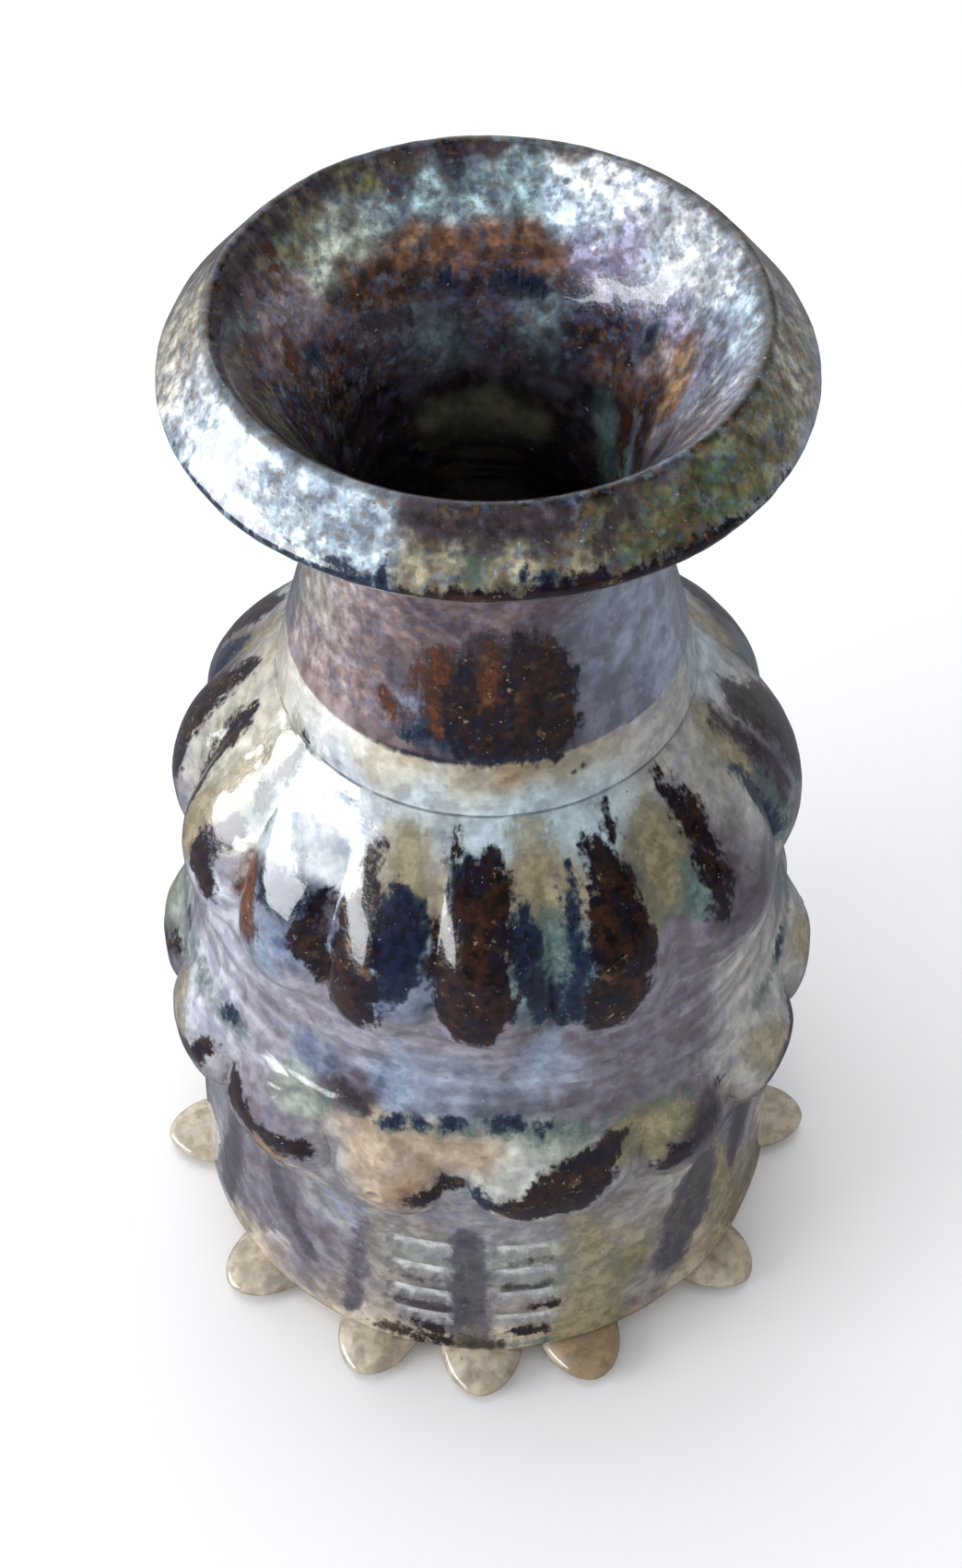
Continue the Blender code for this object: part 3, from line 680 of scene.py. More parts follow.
# Down each brush stroke or run of glaze on the front: layer, (azimuth, height, half-width)...
FRONT_STROKES = [
    # rim
    ("navy", [(-66, 143.2, 0.7), (-48, 143.0, 1.1), (-34, 142.8, 1.2), (-20, 142.8, 1.5)]),
    ("navy", [(-17, 144.2, 1.0), (-17, 142.8, 1.8)]),
    ("iron", [(-12, 142.6, 1.4), (-5, 142.6, 1.7), (1, 142.8, 1.6), (5, 142.8, 1.3)]),
    ("iron", [(6, 143.2, 1.4), (9, 143.0, 2.0), (15, 142.8, 2.0), (21, 142.8, 1.6),
              (30, 142.8, 1.3), (38, 143.2, 1.3), (46, 142.8, 0.9), (60, 142.6, 0.8)]),
    ("navy", [(7, 144.8, 0.9), (10, 144.4, 1.0)]),
    ("plum", [(18, 145.4, 1.0), (22, 147, 1.4), (27, 148.4, 1.4)]),
    ("plum", [(-15, 148.8, 1.2), (-6, 148.4, 1.6), (3, 148.4, 1.9), (12, 148.2, 1.8)]),
    ("teal", [(-3, 145.8, 1.0), (-2, 144.6, 1.1)]),
    ("pale", [(40, 142.4, 0.9), (55, 142.6, 1.3), (75, 143.0, 1.5), (92, 143.4, 1.2)]),
    # neck, the dark panel in front
    ("plum", [(-12, 117, 2.4), (-12, 110, 3.0)]),
    ("plum", [(0, 121, 2.6), (0, 115, 4.2), (0, 108.5, 3.6)]),
    ("plum", [(12, 120.5, 2.8), (12, 115, 4.2), (12, 108.5, 3.6)]),
    ("plum", [(20, 117.5, 1.8), (20, 112, 2.4), (18, 108.5, 2.2)]),
    ("iron", [(-7, 118.4, 1.0), (-7.5, 114.6, 1.9), (-8, 110.6, 1.9), (-7, 107.4, 1.2)]),
    ("rust", [(1, 121, 0.8), (1.4, 117, 1.7), (0.6, 113.4, 2.0)]),
    ("iron", [(1, 112.2, 1.3), (2, 107.4, 1.9)]),
    ("iron", [(10, 121.2, 1.3), (9.6, 116, 2.2), (9.2, 110, 2.5), (9, 107.2, 1.9)]),
    ("iron", [(17.5, 119.5, 1.6), (18.4, 115, 3.2), (18.6, 110, 3.3), (17, 107.2, 2.2)]),
    ("rust", [(-15, 119.5, 1.3), (-13, 116, 1.6), (-15, 112.5, 1.5), (-13, 109, 1.1)]),
    ("rust", [(-3, 115.6, 0.9), (-3.4, 112, 1.2)]),
    ("rust", [(-31, 111.8, 0.8), (-28, 110, 0.9)]),
    ("rust", [(-21, 117, 0.8), (-20, 114.6, 0.8)]),
    ("navy", [(5.4, 118.6, 1.2), (5.6, 114.6, 1.0), (5.4, 110.6, 0.9)]),
    ("navy", [(-12, 111, 1.0), (-13, 108.4, 1.3)]),
    ("pale", [(-24, 112.6, 1.0), (-20, 111, 1.2)]),
    ("slate", [(-30, 116, 1.2), (-26, 114, 1.2)]),
    ("navy", [(-8, 107.6, 1.4), (4, 107.4, 1.6), (9, 108.5, 1.6), (9, 111, 1.2)]),
    ("navy", [(-24, 107.6, 0.7), (-17, 108.4, 1.5), (-10, 107.6, 0.9)]),
    ("pale", [(-18, 112.5, 0.9), (-14, 111, 1.1), (-12, 108.6, 0.8)]),
    # shoulder, left to right
    ("iron", [(-79, 95, 0.8), (-79, 91, 1.8), (-78, 86.4, 2.1), (-76, 80, 1.7)]),
    ("tan", [(-61, 99, 1.2), (-63, 95, 2.8), (-66, 89, 3.4), (-70, 81, 3.0)]),
    ("iron", [(-56, 98.4, 0.7), (-57, 94, 1.0), (-58, 91, 1.1)]),
    ("teal", [(-55, 98, 1.0), (-56.5, 94, 1.6), (-58, 90, 1.6)]),
    ("iron", [(-60, 87.6, 1.8), (-64, 82, 2.2), (-60, 77.5, 1.5)]),
    ("rust", [(-51, 85.4, 1.8), (-50, 82, 3.1), (-48, 79, 2.2)]),
    ("navy", [(-45, 86.2, 2.0), (-38, 86.6, 1.8)]),
    ("pale", [(-45.5, 82.5, 1.6), (-43, 79, 2.6), (-42, 76, 1.8)]),
    ("iron", [(-34, 87.4, 1.2), (-35, 83, 1.7), (-31, 79.5, 2.2), (-29.5, 77, 1.6)]),
    ("iron", [(-25, 94, 0.7), (-25, 90.5, 1.6), (-25.5, 87, 2.9), (-25, 82.5, 3.3),
              (-24.5, 78, 3.3), (-24, 74.6, 1.9)]),
    ("tan", [(-18.5, 96, 1.8), (-17, 93, 2.3), (-16.5, 91, 1.9)]),
    ("navy", [(-18, 90, 2.4), (-17, 87, 3.4), (-16, 84, 3.0), (-17, 80.5, 1.8)]),
    ("pale", [(-14.4, 83, 1.3), (-13.8, 80.5, 1.9), (-14, 78, 1.2)]),
    ("iron", [(-8, 97.2, 0.4), (-8, 95.6, 0.8), (-7.6, 94.2, 0.7)]),
    ("navy", [(-4, 93.6, 1.3), (-6, 91, 1.5), (-7, 88, 1.2)]),
    ("iron", [(1.5, 94.4, 1.6), (0.5, 92.4, 2.8), (-2, 89.2, 4.0), (-3, 85.5, 4.9),
              (-3, 81.5, 4.8), (-3.5, 78, 3.8), (-4, 75.6, 2.2)]),
    ("tan", [(10.5, 97, 2.4), (11.5, 93.6, 2.8), (11.5, 91.3, 2.7), (12, 89.4, 1.7)]),
    ("teal", [(12.5, 88, 2.1), (13, 85, 2.4), (13, 82, 2.2), (12.5, 78.6, 2.2)]),
    ("navy", [(6, 91.5, 0.8), (7, 88, 1.4), (8, 84, 1.8), (9.5, 80, 2.1), (11.5, 77.4, 2.3)]),
    ("navy", [(18, 93.4, 0.7), (17.3, 88.6, 1.3), (16.2, 83.5, 1.6), (15.6, 77.6, 1.9)]),
    ("iron", [(26, 95, 1.2), (26, 92, 2.5), (25.5, 88, 3.7), (25, 84, 4.3), (23.5, 80, 3.9),
              (21, 76, 2.5)]),
    ("iron", [(30.5, 97, 0.5), (30, 94.4, 0.9)]),
    ("tan", [(42, 94.8, 1.8), (40, 91.6, 3.2), (38.5, 88.7, 3.0), (37.5, 86.2, 1.8)]),
    ("teal", [(43, 89, 0.9), (42.5, 86, 1.5), (42.5, 83.8, 1.3)]),
    ("iron", [(48, 97.4, 0.8), (50, 94.8, 1.5), (49.6, 92, 1.9), (48.5, 89, 1.9), (48, 85.6, 1.7),
              (46, 82, 1.0)]),
    ("plum", [(74, 96, 1.1), (77, 91.6, 1.6), (78, 87, 1.6), (77, 82, 1.2)]),
    # waist
    ("pale", [(-18, 72, 1.0), (-16, 66, 2.0), (-16, 59, 2.1)]),
    ("pale", [(11, 73.4, 1.8), (11, 71, 1.7), (10, 67.5, 1.8), (9, 63.5, 1.5)]),
    ("plum", [(-29, 59, 0.9), (-25, 57.2, 1.7), (-21.5, 55.8, 1.1)]),
    ("teal", [(-30, 55.6, 0.5), (-17, 55.4, 0.9), (0, 55.9, 1.2), (12, 55.6, 0.9), (22, 54.6, 0.5),
              (42, 53.4, 0.5)]),
    ("navy", [(-16.5, 56.0, 1.3)]),
    ("navy", [(-12.5, 56.2, 0.9)]),
    ("navy", [(-7.5, 56.8, 1.3), (-5.5, 56.8, 1.1)]),
    ("navy", [(1, 56.9, 1.3), (6, 57.0, 1.2)]),
    ("navy", [(10.5, 56.2, 0.8)]),
    ("navy", [(72, 56, 0.9)]),
    # belt
    ("iron", [(-51, 48.6, 1.4), (-46, 46.4, 2.5)]),
    ("iron", [(-39.5, 45.6, 2.2), (-34, 46.2, 2.0)]),
    ("iron", [(-12, 43.0, 1.3), (-9.5, 45.2, 1.9), (-6, 46.6, 1.6)]),
    ("navy", [(-2, 45.4, 1.1), (0.5, 43.4, 1.5)]),
    ("iron", [(3, 43.0, 1.8), (7, 44.0, 3.2), (12, 45.8, 4.2), (17, 48.0, 4.0), (21, 50.0, 2.6),
              (24.5, 51.6, 1.4)]),
    ("tan", [(27.5, 48, 1.5), (31, 51, 2.2), (35, 52.6, 1.4)]),
    ("iron", [(31.5, 43.8, 1.3), (35, 46, 2.0)]),
    ("plum", [(37, 47, 2.2), (42, 48, 1.9)]),
    ("navy", [(46.5, 50.4, 1.1)]),
    # drum
    ("slate", [(-3.2, 30.5, 2.7), (-3.5, 18, 3.1), (-3.8, 7, 3.1)]),
    ("slate", [(-24.4, 30, 0.9), (-25.5, 19, 1.3), (-27, 8, 1.5)]),
    ("slate", [(-46, 30, 2.0), (-43, 24, 2.6), (-37, 16, 2.0)]),
    ("pale", [(-33, 33.4, 1.1), (-29, 31, 1.4), (-26, 29, 1.1)]),
    ("tan", [(17, 35, 2.0), (20, 27, 2.8), (21, 18, 3.8), (20, 9, 5.2), (20, 3, 6.0)]),
    ("slate", [(47, 33, 1.6), (45, 26, 4.4), (42, 19.5, 4.9), (39, 14, 3.6)]),
    ("slate", [(63, 44, 2.4), (62, 37, 4.0), (60, 29, 3.6), (57, 22, 1.6)]),
    ("tan", [(45, 39, 1.2), (49.5, 31, 2.2), (53, 22, 3.0), (55, 12, 3.8), (54, 4, 4.4)]),
    ("iron", [(-22, 6.4, 0.8), (-12, 6.0, 1.4), (-3, 5.6, 1.8), (3, 5.8, 1.0)]),
    ("iron", [(-16, 9.6, 0.8), (-9, 8.8, 1.2)]),
    ("iron", [(5, 8.6, 1.0), (11, 8.8, 1.1)]),
    ("iron", [(8.5, 14.2, 0.7), (13, 14.2, 1.0)]),
    ("plum", [(4, 19.4, 0.9), (12, 19.2, 1.0)]),
    ("plum", [(-17, 14.8, 0.9), (-9, 14.4, 1.0)]),
    ("plum", [(-18, 20.0, 0.7), (-9, 19.8, 0.8)]),
    ("plum", [(3, 25.0, 0.6), (12, 24.8, 0.7)]),
    ("teal", [(4, 5.4, 0.9), (10, 5.2, 1.1), (14, 5.4, 0.8)]),
    ("line", [(24, 102.9, 0.5)]),
    ("line", [(27.4, 103.4, 0.5)]),
]

# Runs of glaze inside the mouth
INNER_STROKES = [
    ("iron", [(-136, 136.6, 1.6), (-150, 135.8, 1.2)]),
    ("teal", [(126, 129.5, 0.9), (118, 124, 1.0), (112, 119, 0.8)]),
    ("pale", [(104, 131, 0.8), (98, 126, 0.9), (92, 121, 0.7)]),
    ("rust", [(112, 130, 1.0), (106, 124, 0.9), (100, 119, 0.6)]),
    ("pale", [(84, 142, 1.2), (78, 136, 1.3), (72, 129, 1.0)]),
    ("pale", [(62, 144, 1.4), (54, 139, 1.6), (46, 132, 1.2)]),
    ("rust", [(-118, 147.4, 0.8), (-100, 140.2, 1.2), (-96, 139, 1.0)]),
    ("navy", [(-166, 138.4, 1.0), (175, 138.2, 1.2), (160, 137.4, 1.0)]),
    ("plum", [(-125, 148.6, 1.4), (-95, 148.4, 1.8), (-60, 148.6, 1.6), (-30, 149, 1.2)]),
    ("plum", [(-125, 149.4, 1.0), (-150, 149.4, 0.9), (-179, 149.6, 0.8)]),
    ("plum", [(181, 149.7, 0.8), (160, 149.9, 0.5), (140, 150, 0.5), (118, 150, 0.5)]),
    ("plum", [(110, 149.8, 0.7), (90, 149.6, 0.8), (60, 149.6, 0.9), (30, 149.4, 1.0),
              (0, 149.4, 1.0), (-30, 149.4, 1.0)]),
]

LAYERS = ("tan", "teal", "pale", "slate", "plum", "navy", "rust", "iron", "chalk", "line")
FAR = -20.0


def bare_layers(points):
    """Every glaze layer, with all the points outside its strokes."""
    return {layer: np.full(len(points), FAR) for layer in LAYERS}


def back_strokes():
    """The same scheme carried round the sides and back: a dark run on each lobe with tan and
    navy between, dark dashes on the petals, spots at the belt and uprights on the drum."""
    rng = np.random.default_rng(7)
    strokes = []
    for left, right in zip(LOBE_ENDS, LOBE_ENDS[1:]):
        middle = (left + right) / 2
        if abs(wrapped(middle)) < 84:
            continue
        wide = (right - left) / 26
        lean = rng.uniform(-3, 3)
        layer = "plum" if 80 < middle % 360 < 125 else "iron"
        strokes.append((layer, [(middle + lean, 95, 1.0), (middle + lean, 92, 2.2 * wide),
                                 (middle, 87, 3.6 * wide), (middle - lean, 82, 4.0 * wide),
                                 (middle - lean, 77, 2.4 * wide)]))
        strokes.append(("tan", [(left, 97, 1.8), (left + 1, 93, 2.6), (left, 89, 2.0)]))
        strokes.append(("navy", [(left - 3, 91, 0.8), (left - 2, 86, 1.8), (left, 79, 1.9)]))
        strokes.append(("teal", [(left + 3, 87, 1.4), (left + 3, 82, 1.8), (left + 2, 77, 1.4)]))
        if rng.random() < 0.7:
            strokes.append(("pale", [(left + 2, 76, 1.3), (left + 2, 70, 1.9), (left, 61, 1.7)]))
    for _, azimuth, z, *_ in BOSSES:
        if abs(azimuth) < 56:
            continue
        strokes.append(("tan", [(azimuth - 4, z + 3, 3.2), (azimuth - 1, z - 1, 3.6)]))
        if rng.random() < 0.7:
            strokes.append(("iron", [(azimuth - 5, z - 5.5, 1.1), (azimuth, z - 4.6, 2.2),
                                     (azimuth + 6, z - 1, 1.8), (azimuth + 9, z + 2, 1.0)]))
        strokes.append(("navy", [(azimuth + 11, 56.4, 1.2), (azimuth + 14, 56.4, 0.9)]))
    for azimuth in range(92, 300, 23):
        lean = rng.uniform(-5, 5)
        layer = ("slate", "slate", "tan")[rng.integers(3)]
        strokes.append((layer, [(azimuth + lean, 31, 1.8), (azimuth, 20, 3.0),
                                (azimuth - lean, 9, 2.4)]))
    strokes.append(("teal", [(a, 55.6 + 0.5 * math.sin(a), 0.8) for a in range(60, 320, 10)]))
    return strokes


def stroke_beads(path, radius_at):
    """Beads along a stroke: points on the surface and their half-widths."""
    path = np.array(path, float)
    steps = np.linspace(0, len(path) - 1, 6 * (len(path) - 1) + 1)
    azimuth, z, half = (np.interp(steps, np.arange(len(path)), path[:, i]) for i in range(3))
    return on_wall(radius_at(z), azimuth, z), half


def paint(points, strokes, radius_at):
    """Signed distance of every point to each glaze layer, positive inside a stroke."""
    layers = bare_layers(points)
    for layer, path in strokes:
        spots, half = stroke_beads(path, radius_at)
        low, high = spots.min(axis=0) - half.max() - 5, spots.max(axis=0) + half.max() + 5
        near = np.flatnonzero(((points > low) & (points < high)).all(axis=1))
        best = layers[layer][near]
        for spot, width in zip(spots, half):
            best = np.maximum(best, width - np.linalg.norm(points[near] - spot, axis=1))
        layers[layer][near] = best
    return layers


def add_rungs(points, layers):
    """Pale glaze pooled in the stamped rungs."""
    for across, up in rung_distances(azimuth_of(points), points[:, 2]):
        inside = np.minimum(POOL_HALF_WIDE - across, POOL_HALF_TALL - up) - 0.2
        layers["chalk"] = np.maximum(layers["chalk"], np.where(inside > -3, inside, FAR))


def on_plain(points, radius_at):
    """The points dropped on the plain wall, so that lumps do not shrink the strokes."""
    return on_wall(radius_at(points[:, 2]), azimuth_of(points), points[:, 2])


def outer_grain(z):
    """How strongly the glaze breaks up: most at the rim, least on the collar."""
    levels = [0, 30, 42, 56, 72, 90, 97, 106, 108, 125, 141, 143, 150]
    grain = [0.3, 0.6, 0.5, 0.6, 0.55, 0.6, 0.2, 0.12, 0.95, 0.9, 0.8, 1.1, 1.2]
    return np.interp(z, levels, grain)


def crest_shade(z):
    """The glaze runs thin and dark over the crest of the mouth."""
    return 1 - 0.75 * smoothstep(HEIGHT - 0.7, HEIGHT - 0.2, z)


def outer_paint(points):
    """Washes and strokes on the outside: the neck's glaze ends at a clean line."""
    points = on_plain(points, wall_radius)
    around, z = azimuth_of(points), points[:, 2]
    moved = wander(points, 1.1, 4.0, 71)
    line = GLAZE_END_Z + 0.3 * np.sin(np.radians(around * 3 + 40))
    on_neck = (z > line) & (z < LIP_Z - 1.2)
    washes = gather_washes(OUTER_WASHES_AND_LIGHT) + back_washes()
    neck = [wash for wash in washes if SEAM_Z + 8 < wash[1] < LIP_Z - 6]
    body = [wash for wash in washes if wash not in neck]
    first, second = wash_colors(moved, body, wall_radius)
    neck_first, neck_second = wash_colors(moved[on_neck], neck, wall_radius)
    first[on_neck] = neck_first
    second[on_neck] = neck_second
    crest = crest_shade(z)[:, None]
    first, second = first * crest, second * crest
    layers = paint(wander(points, 1.25, 3.0, 75), FRONT_STROKES + back_strokes(), wall_radius)
    near_front = smoothstep(34, 22, np.abs(around + 4))
    edge = 0.45 * near_front - 0.1 - np.abs(z - line - 0.1)
    layers["line"] = np.maximum(layers["line"], np.where(edge > -1.5, edge, FAR))
    add_rungs(points, layers)
    calm = smoothstep(12, 34, around) * smoothstep(150, 110, around) * smoothstep(142, 140, z)
    layers["grain"] = outer_grain(z) * (1 - 0.5 * calm)
    brushed = smoothstep(80, 72, z) * smoothstep(50, 58, z)
    layers["rings"] = throwing_lines(points, 1.1, 15) * (0.25 + 0.75 * brushed)
    return first, second, layers


def inner_paint(points):
    """Washes and runs in the mouth, with painted light high on the far wall and painted shade
    darkening them towards the throat.
    """
    points = on_plain(points, bore_radius)
    moved = wander(points, 1.2, 3.6, 73)
    first, second = wash_colors(moved, gather_washes(INNER_WASHES_AND_LIGHT), bore_radius)
    # Painted light: high on the far wall the washes are brightened where the window's light falls.
    turned = (azimuth_of(points) + 350) % 360 - 180
    behind = smoothstep(62, 34, np.abs(turned))
    lit = 1 + 1.25 * smoothstep(133, 142, points[:, 2]) * behind
    lit *= crest_shade(points[:, 2])
    first, second = first * lit[:, None], second * lit[:, None]
    # Painted shade: down towards the throat the washes are darkened towards soot black.
    dark = smoothstep(128, 117, points[:, 2])[:, None]
    soot = np.array(linear(*TONES["soot"][1]))
    first += (soot - first) * dark * 0.85
    second += (soot - second) * dark * 0.85
    layers = paint(wander(points, 0.9, 2.6, 77), INNER_STROKES, bore_radius)
    layers["grain"] = 1.2 * smoothstep(114, 138, points[:, 2])
    layers["rings"] = 1.2 * throwing_lines(points, 2.2, 16)
    return first, second, layers


# ---------------------------------------------------------------- node materials

# layer: (first colour, second colour, edge colour, mottle size, raggedness, softness, cover)
RECIPES = {
    "tan": ((166, 154, 126), (128, 120, 94), (120, 120, 100), 1.8, 1.5, 1.2, 0.80),
    "teal": ((112, 132, 124), (70, 90, 92), (80, 100, 92), 1.4, 1.6, 1.1, 0.80),
    "pale": ((160, 174, 190), (118, 138, 158), (140, 140, 160), 1.6, 1.4, 0.9, 0.75),
    "slate": ((82, 79, 88), (62, 58, 66), (96, 94, 104), 2.2, 1.0, 0.6, 0.90),
    "plum": ((58, 48, 50), (36, 32, 36), (66, 58, 66), 1.2, 1.6, 0.9, 0.88),
    "navy": ((26, 32, 60), (14, 15, 32), (40, 58, 74), 1.1, 1.4, 0.55, 0.97),
    "rust": ((112, 62, 34), (66, 38, 24), (58, 38, 32), 1.1, 1.4, 0.7, 0.92),
    "chalk": ((224, 226, 222), (176, 180, 182), (140, 138, 140), 2.4, 0.9, 0.6, 0.85),
    "line": ((20, 22, 38), (14, 14, 24), (34, 44, 60), 1.6, 0.35, 0.30, 0.90),
    "iron": ((46, 27, 22), (13, 9, 10), (24, 21, 34), 1.6, 1.5, 0.60, 0.99),
}


class Nodes:
    """Small helper that adds and links shader nodes."""

    def __init__(self, material):
        material.use_nodes = True
        self.tree = material.node_tree
        self.tree.nodes.clear()

    def add(self, kind, **settings):
        node = self.tree.nodes.new("ShaderNode" + kind)
        for key, value in settings.items():
            setattr(node, key, value)
        return node

    def put(self, socket, value):
        """Link a socket to another, or give it a number or a linear colour."""
        if isinstance(value, tuple):
            socket.default_value = (*value, 1.0)
        elif isinstance(value, (int, float)):
            socket.default_value = value
        else:
            self.tree.links.new(value, socket)

    def attribute(self, name, output):
        return self.add("Attribute", attribute_name=name).outputs[output]

    def noise(self, size, detail=3.0, roughness=0.6, seed=0.0, place=None):
        """Noise of a size in millimetres; place is a vector in metres, by default the object's."""
        place = place or self.add("TexCoord").outputs["Object"]
        move = self.add("VectorMath", operation='ADD')
        move.inputs[1].default_value = (seed, seed * 0.7, -seed)
        self.put(move.inputs[0], place)
        node = self.add("TexNoise")
        self.put(node.inputs["Vector"], move.outputs[0])
        node.inputs["Scale"].default_value = 1.0 / (size * MM)
        node.inputs["Detail"].default_value = detail
        node.inputs["Roughness"].default_value = roughness
        return node.outputs["Fac"]

    def math(self, operation, first, second=0.0):
        node = self.add("Math", operation=operation)
        self.put(node.inputs[0], first)
        self.put(node.inputs[1], second)
        return node.outputs[0]

    def plus(self, first, second):
        return self.math('ADD', first, second)

    def times(self, first, second):
        return self.math('MULTIPLY', first, second)

    def ramp(self, value, low, high, out_low=0.0, out_high=1.0):
        node = self.add("MapRange", interpolation_type='SMOOTHSTEP')
        self.put(node.inputs["Value"], value)
        for key, number in (("From Min", low), ("From Max", high),
                            ("To Min", out_low), ("To Max", out_high)):
            node.inputs[key].default_value = number
        return node.outputs[0]

    def mix(self, factor, first, second, blend='MIX'):
        node = self.add("Mix", data_type='RGBA', blend_type=blend)
        self.put(node.inputs[0], factor)
        self.put(node.inputs[6], first)
        self.put(node.inputs[7], second)
        return node.outputs[2]

    def bump(self, shader, height, strength, distance):
        """Bump a shader by a height; distance is in millimetres."""
        node = self.add("Bump")
        node.inputs["Strength"].default_value = strength
        node.inputs["Distance"].default_value = distance * MM
        self.put(node.inputs["Height"], height)
        self.put(shader.inputs["Normal"], node.outputs[0])

    def surface(self, shader):
        self.put(self.add("OutputMaterial").inputs["Surface"], shader.outputs[0])


def streaks(nodes):
    """Noise drawn out along the way the glaze runs, from the flow attribute."""
    flow = nodes.attribute("flow", "Vector")
    coarse = nodes.noise(3.0, 2.0, 0.5, 0.21, flow)
    fine = nodes.noise(1.1, 3.0, 0.6, 0.37, flow)
    return coarse, fine


def glaze_layer(nodes, below, layer, number, run):
    """One run of glaze over the colour below it; returns its colour and its mask."""
    first, second, edge, size, ragged, soft, cover = RECIPES[layer]
    distance = nodes.attribute(layer, "Fac")
    tear = nodes.noise(1.0, 4.0, 0.62, number * 0.13)
    tear = nodes.plus(nodes.times(tear, 0.5), nodes.times(run, 0.5))
    tear = nodes.times(nodes.math('SUBTRACT', tear, 0.5), ragged * 4.5)
    torn = nodes.plus(distance, tear)
    mask = nodes.ramp(torn, -soft, soft, 0.0, cover)
    mottle = nodes.ramp(nodes.noise(size, 4.0, 0.62, number * 0.31), 0.40, 0.62)
    inner = nodes.mix(mottle, linear(*first), linear(*second))
    rim = nodes.ramp(torn, soft * 0.4, soft * 0.4 + 1.0, 0.8, 0.0)
    inner = nodes.mix(rim, inner, linear(*edge))
    return nodes.mix(mask, below, inner), mask


def speckle(nodes, color, size, low, high, amount, tone, seed, where=None, grit=(2.0, 0.5)):
    """Patches of a tone where noise is high; grit is the noise's detail and roughness."""
    spots = nodes.ramp(nodes.noise(size, *grit, seed), low, high, 0.0, amount)
    if where is not None:
        spots = nodes.times(spots, where)
    return nodes.mix(spots, color, linear(*tone))


def shaded(nodes, color, shade):
    tint = nodes.add("CombineColor")
    for socket in tint.inputs:
        nodes.put(socket, shade)
    return nodes.mix(1.0, color, tint.outputs[0], 'MULTIPLY')


def breakup(nodes, color):
    """Light and dark curds in the glaze, as strong as the grain attribute says."""
    grain = nodes.attribute("grain", "Fac")
    fine = nodes.ramp(grain, 0.6, 1.2, 0.15, 1.2)
    for size, share, swing, seed in ((3.4, grain, 0.26, 11.1), (1.4, fine, 0.30, 12.7)):
        curds = nodes.ramp(nodes.noise(size, 2.0, 0.5, seed), 0.36, 0.64, -swing, swing)
        color = shaded(nodes, color, nodes.plus(nodes.times(curds, share), 1.0))
    return color


# size, low, high, amount, tone, seed of the small crystals in the thick glaze of the mouth
CRYSTALS = [(1.4, 0.50, 0.66, 0.36, (62, 54, 54), 21.1),
            (1.5, 0.53, 0.70, 0.45, (128, 146, 158), 22.3),
            (1.2, 0.52, 0.66, 0.50, (72, 84, 116), 23.7),
            (1.1, 0.53, 0.66, 0.50, (116, 86, 60), 24.9),
            (0.7, 0.58, 0.68, 0.32, (40, 32, 36), 25.3)]


def crystals(nodes, color):
    """Small many-toned crystals, thickest where the grain attribute is highest."""
    grain = nodes.attribute("grain", "Fac")
    where = nodes.ramp(grain, 0.55, 1.2, 0.10, 1.0)
    for crystal in CRYSTALS:
        color = speckle(nodes, color, *crystal, where, (3.0, 0.55))
    return color


def glaze_color(nodes):
    """All the colour of the glaze: washes breaking into each other, strokes, specks."""
    coarse, fine = streaks(nodes)
    cloud = nodes.noise(2.6, 2.0, 0.5, 0.55)
    broken = nodes.plus(nodes.times(coarse, 0.12),
                        nodes.times(cloud, 0.88))
    # The wash attributes carry the glaze washes together with the painted window light, highlight
    # and shade.
    color = nodes.mix(nodes.ramp(broken, 0.40, 0.60), nodes.attribute("wash", "Color"),
                      nodes.attribute("wash_broken", "Color"))
    color = speckle(nodes, color, 3.0, 0.54, 0.72, 0.30, (96, 106, 138), 1.9)
    color = speckle(nodes, color, 2.6, 0.56, 0.72, 0.35, (96, 76, 62), 2.3, grit=(3.0, 0.5))
    color = crystals(nodes, breakup(nodes, color))
    rings = nodes.times(nodes.attribute("rings", "Fac"), 0.45)
    color = shaded(nodes, color, nodes.plus(rings, 1.0))
    masks = {}
    for number, layer in enumerate(LAYERS):
        color, masks[layer] = glaze_layer(nodes, color, layer, number + 1, fine)
    dark = nodes.math('MAXIMUM', masks["iron"], masks["rust"])
    color = speckle(nodes, color, 2.0, 0.52, 0.66, 0.55, (74, 46, 32), 3.1, dark, (4.0, 0.62))
    color = speckle(nodes, color, 2.8, 0.50, 0.60, 0.65, (18, 22, 40), 16.1, masks["iron"],
                    (4.0, 0.6))
    crowd = nodes.ramp(nodes.noise(4.0, 2.0, 0.5, seed=13.3), 0.42, 0.62)
    speckled = nodes.times(crowd, dark)
    color = speckle(nodes, color, 2.0, 0.58, 0.74, 0.55, (116, 92, 66), 14.9, speckled)
    color = speckle(nodes, color, 0.9, 0.63, 0.76, 0.70, (168, 152, 126), 4.7, speckled)
    color = speckle(nodes, color, 0.55, 0.68, 0.76, 0.5, (206, 206, 206), 5.9, crowd)
    color = speckle(nodes, color, 0.60, 0.66, 0.74, 0.5, (44, 34, 36), 6.3, crowd)
    grit = nodes.ramp(nodes.noise(0.7, 2.0, 0.5, 7.1), 0.3, 0.7, 0.94, 1.06)
    color = shaded(nodes, color, grit)
    return color, masks


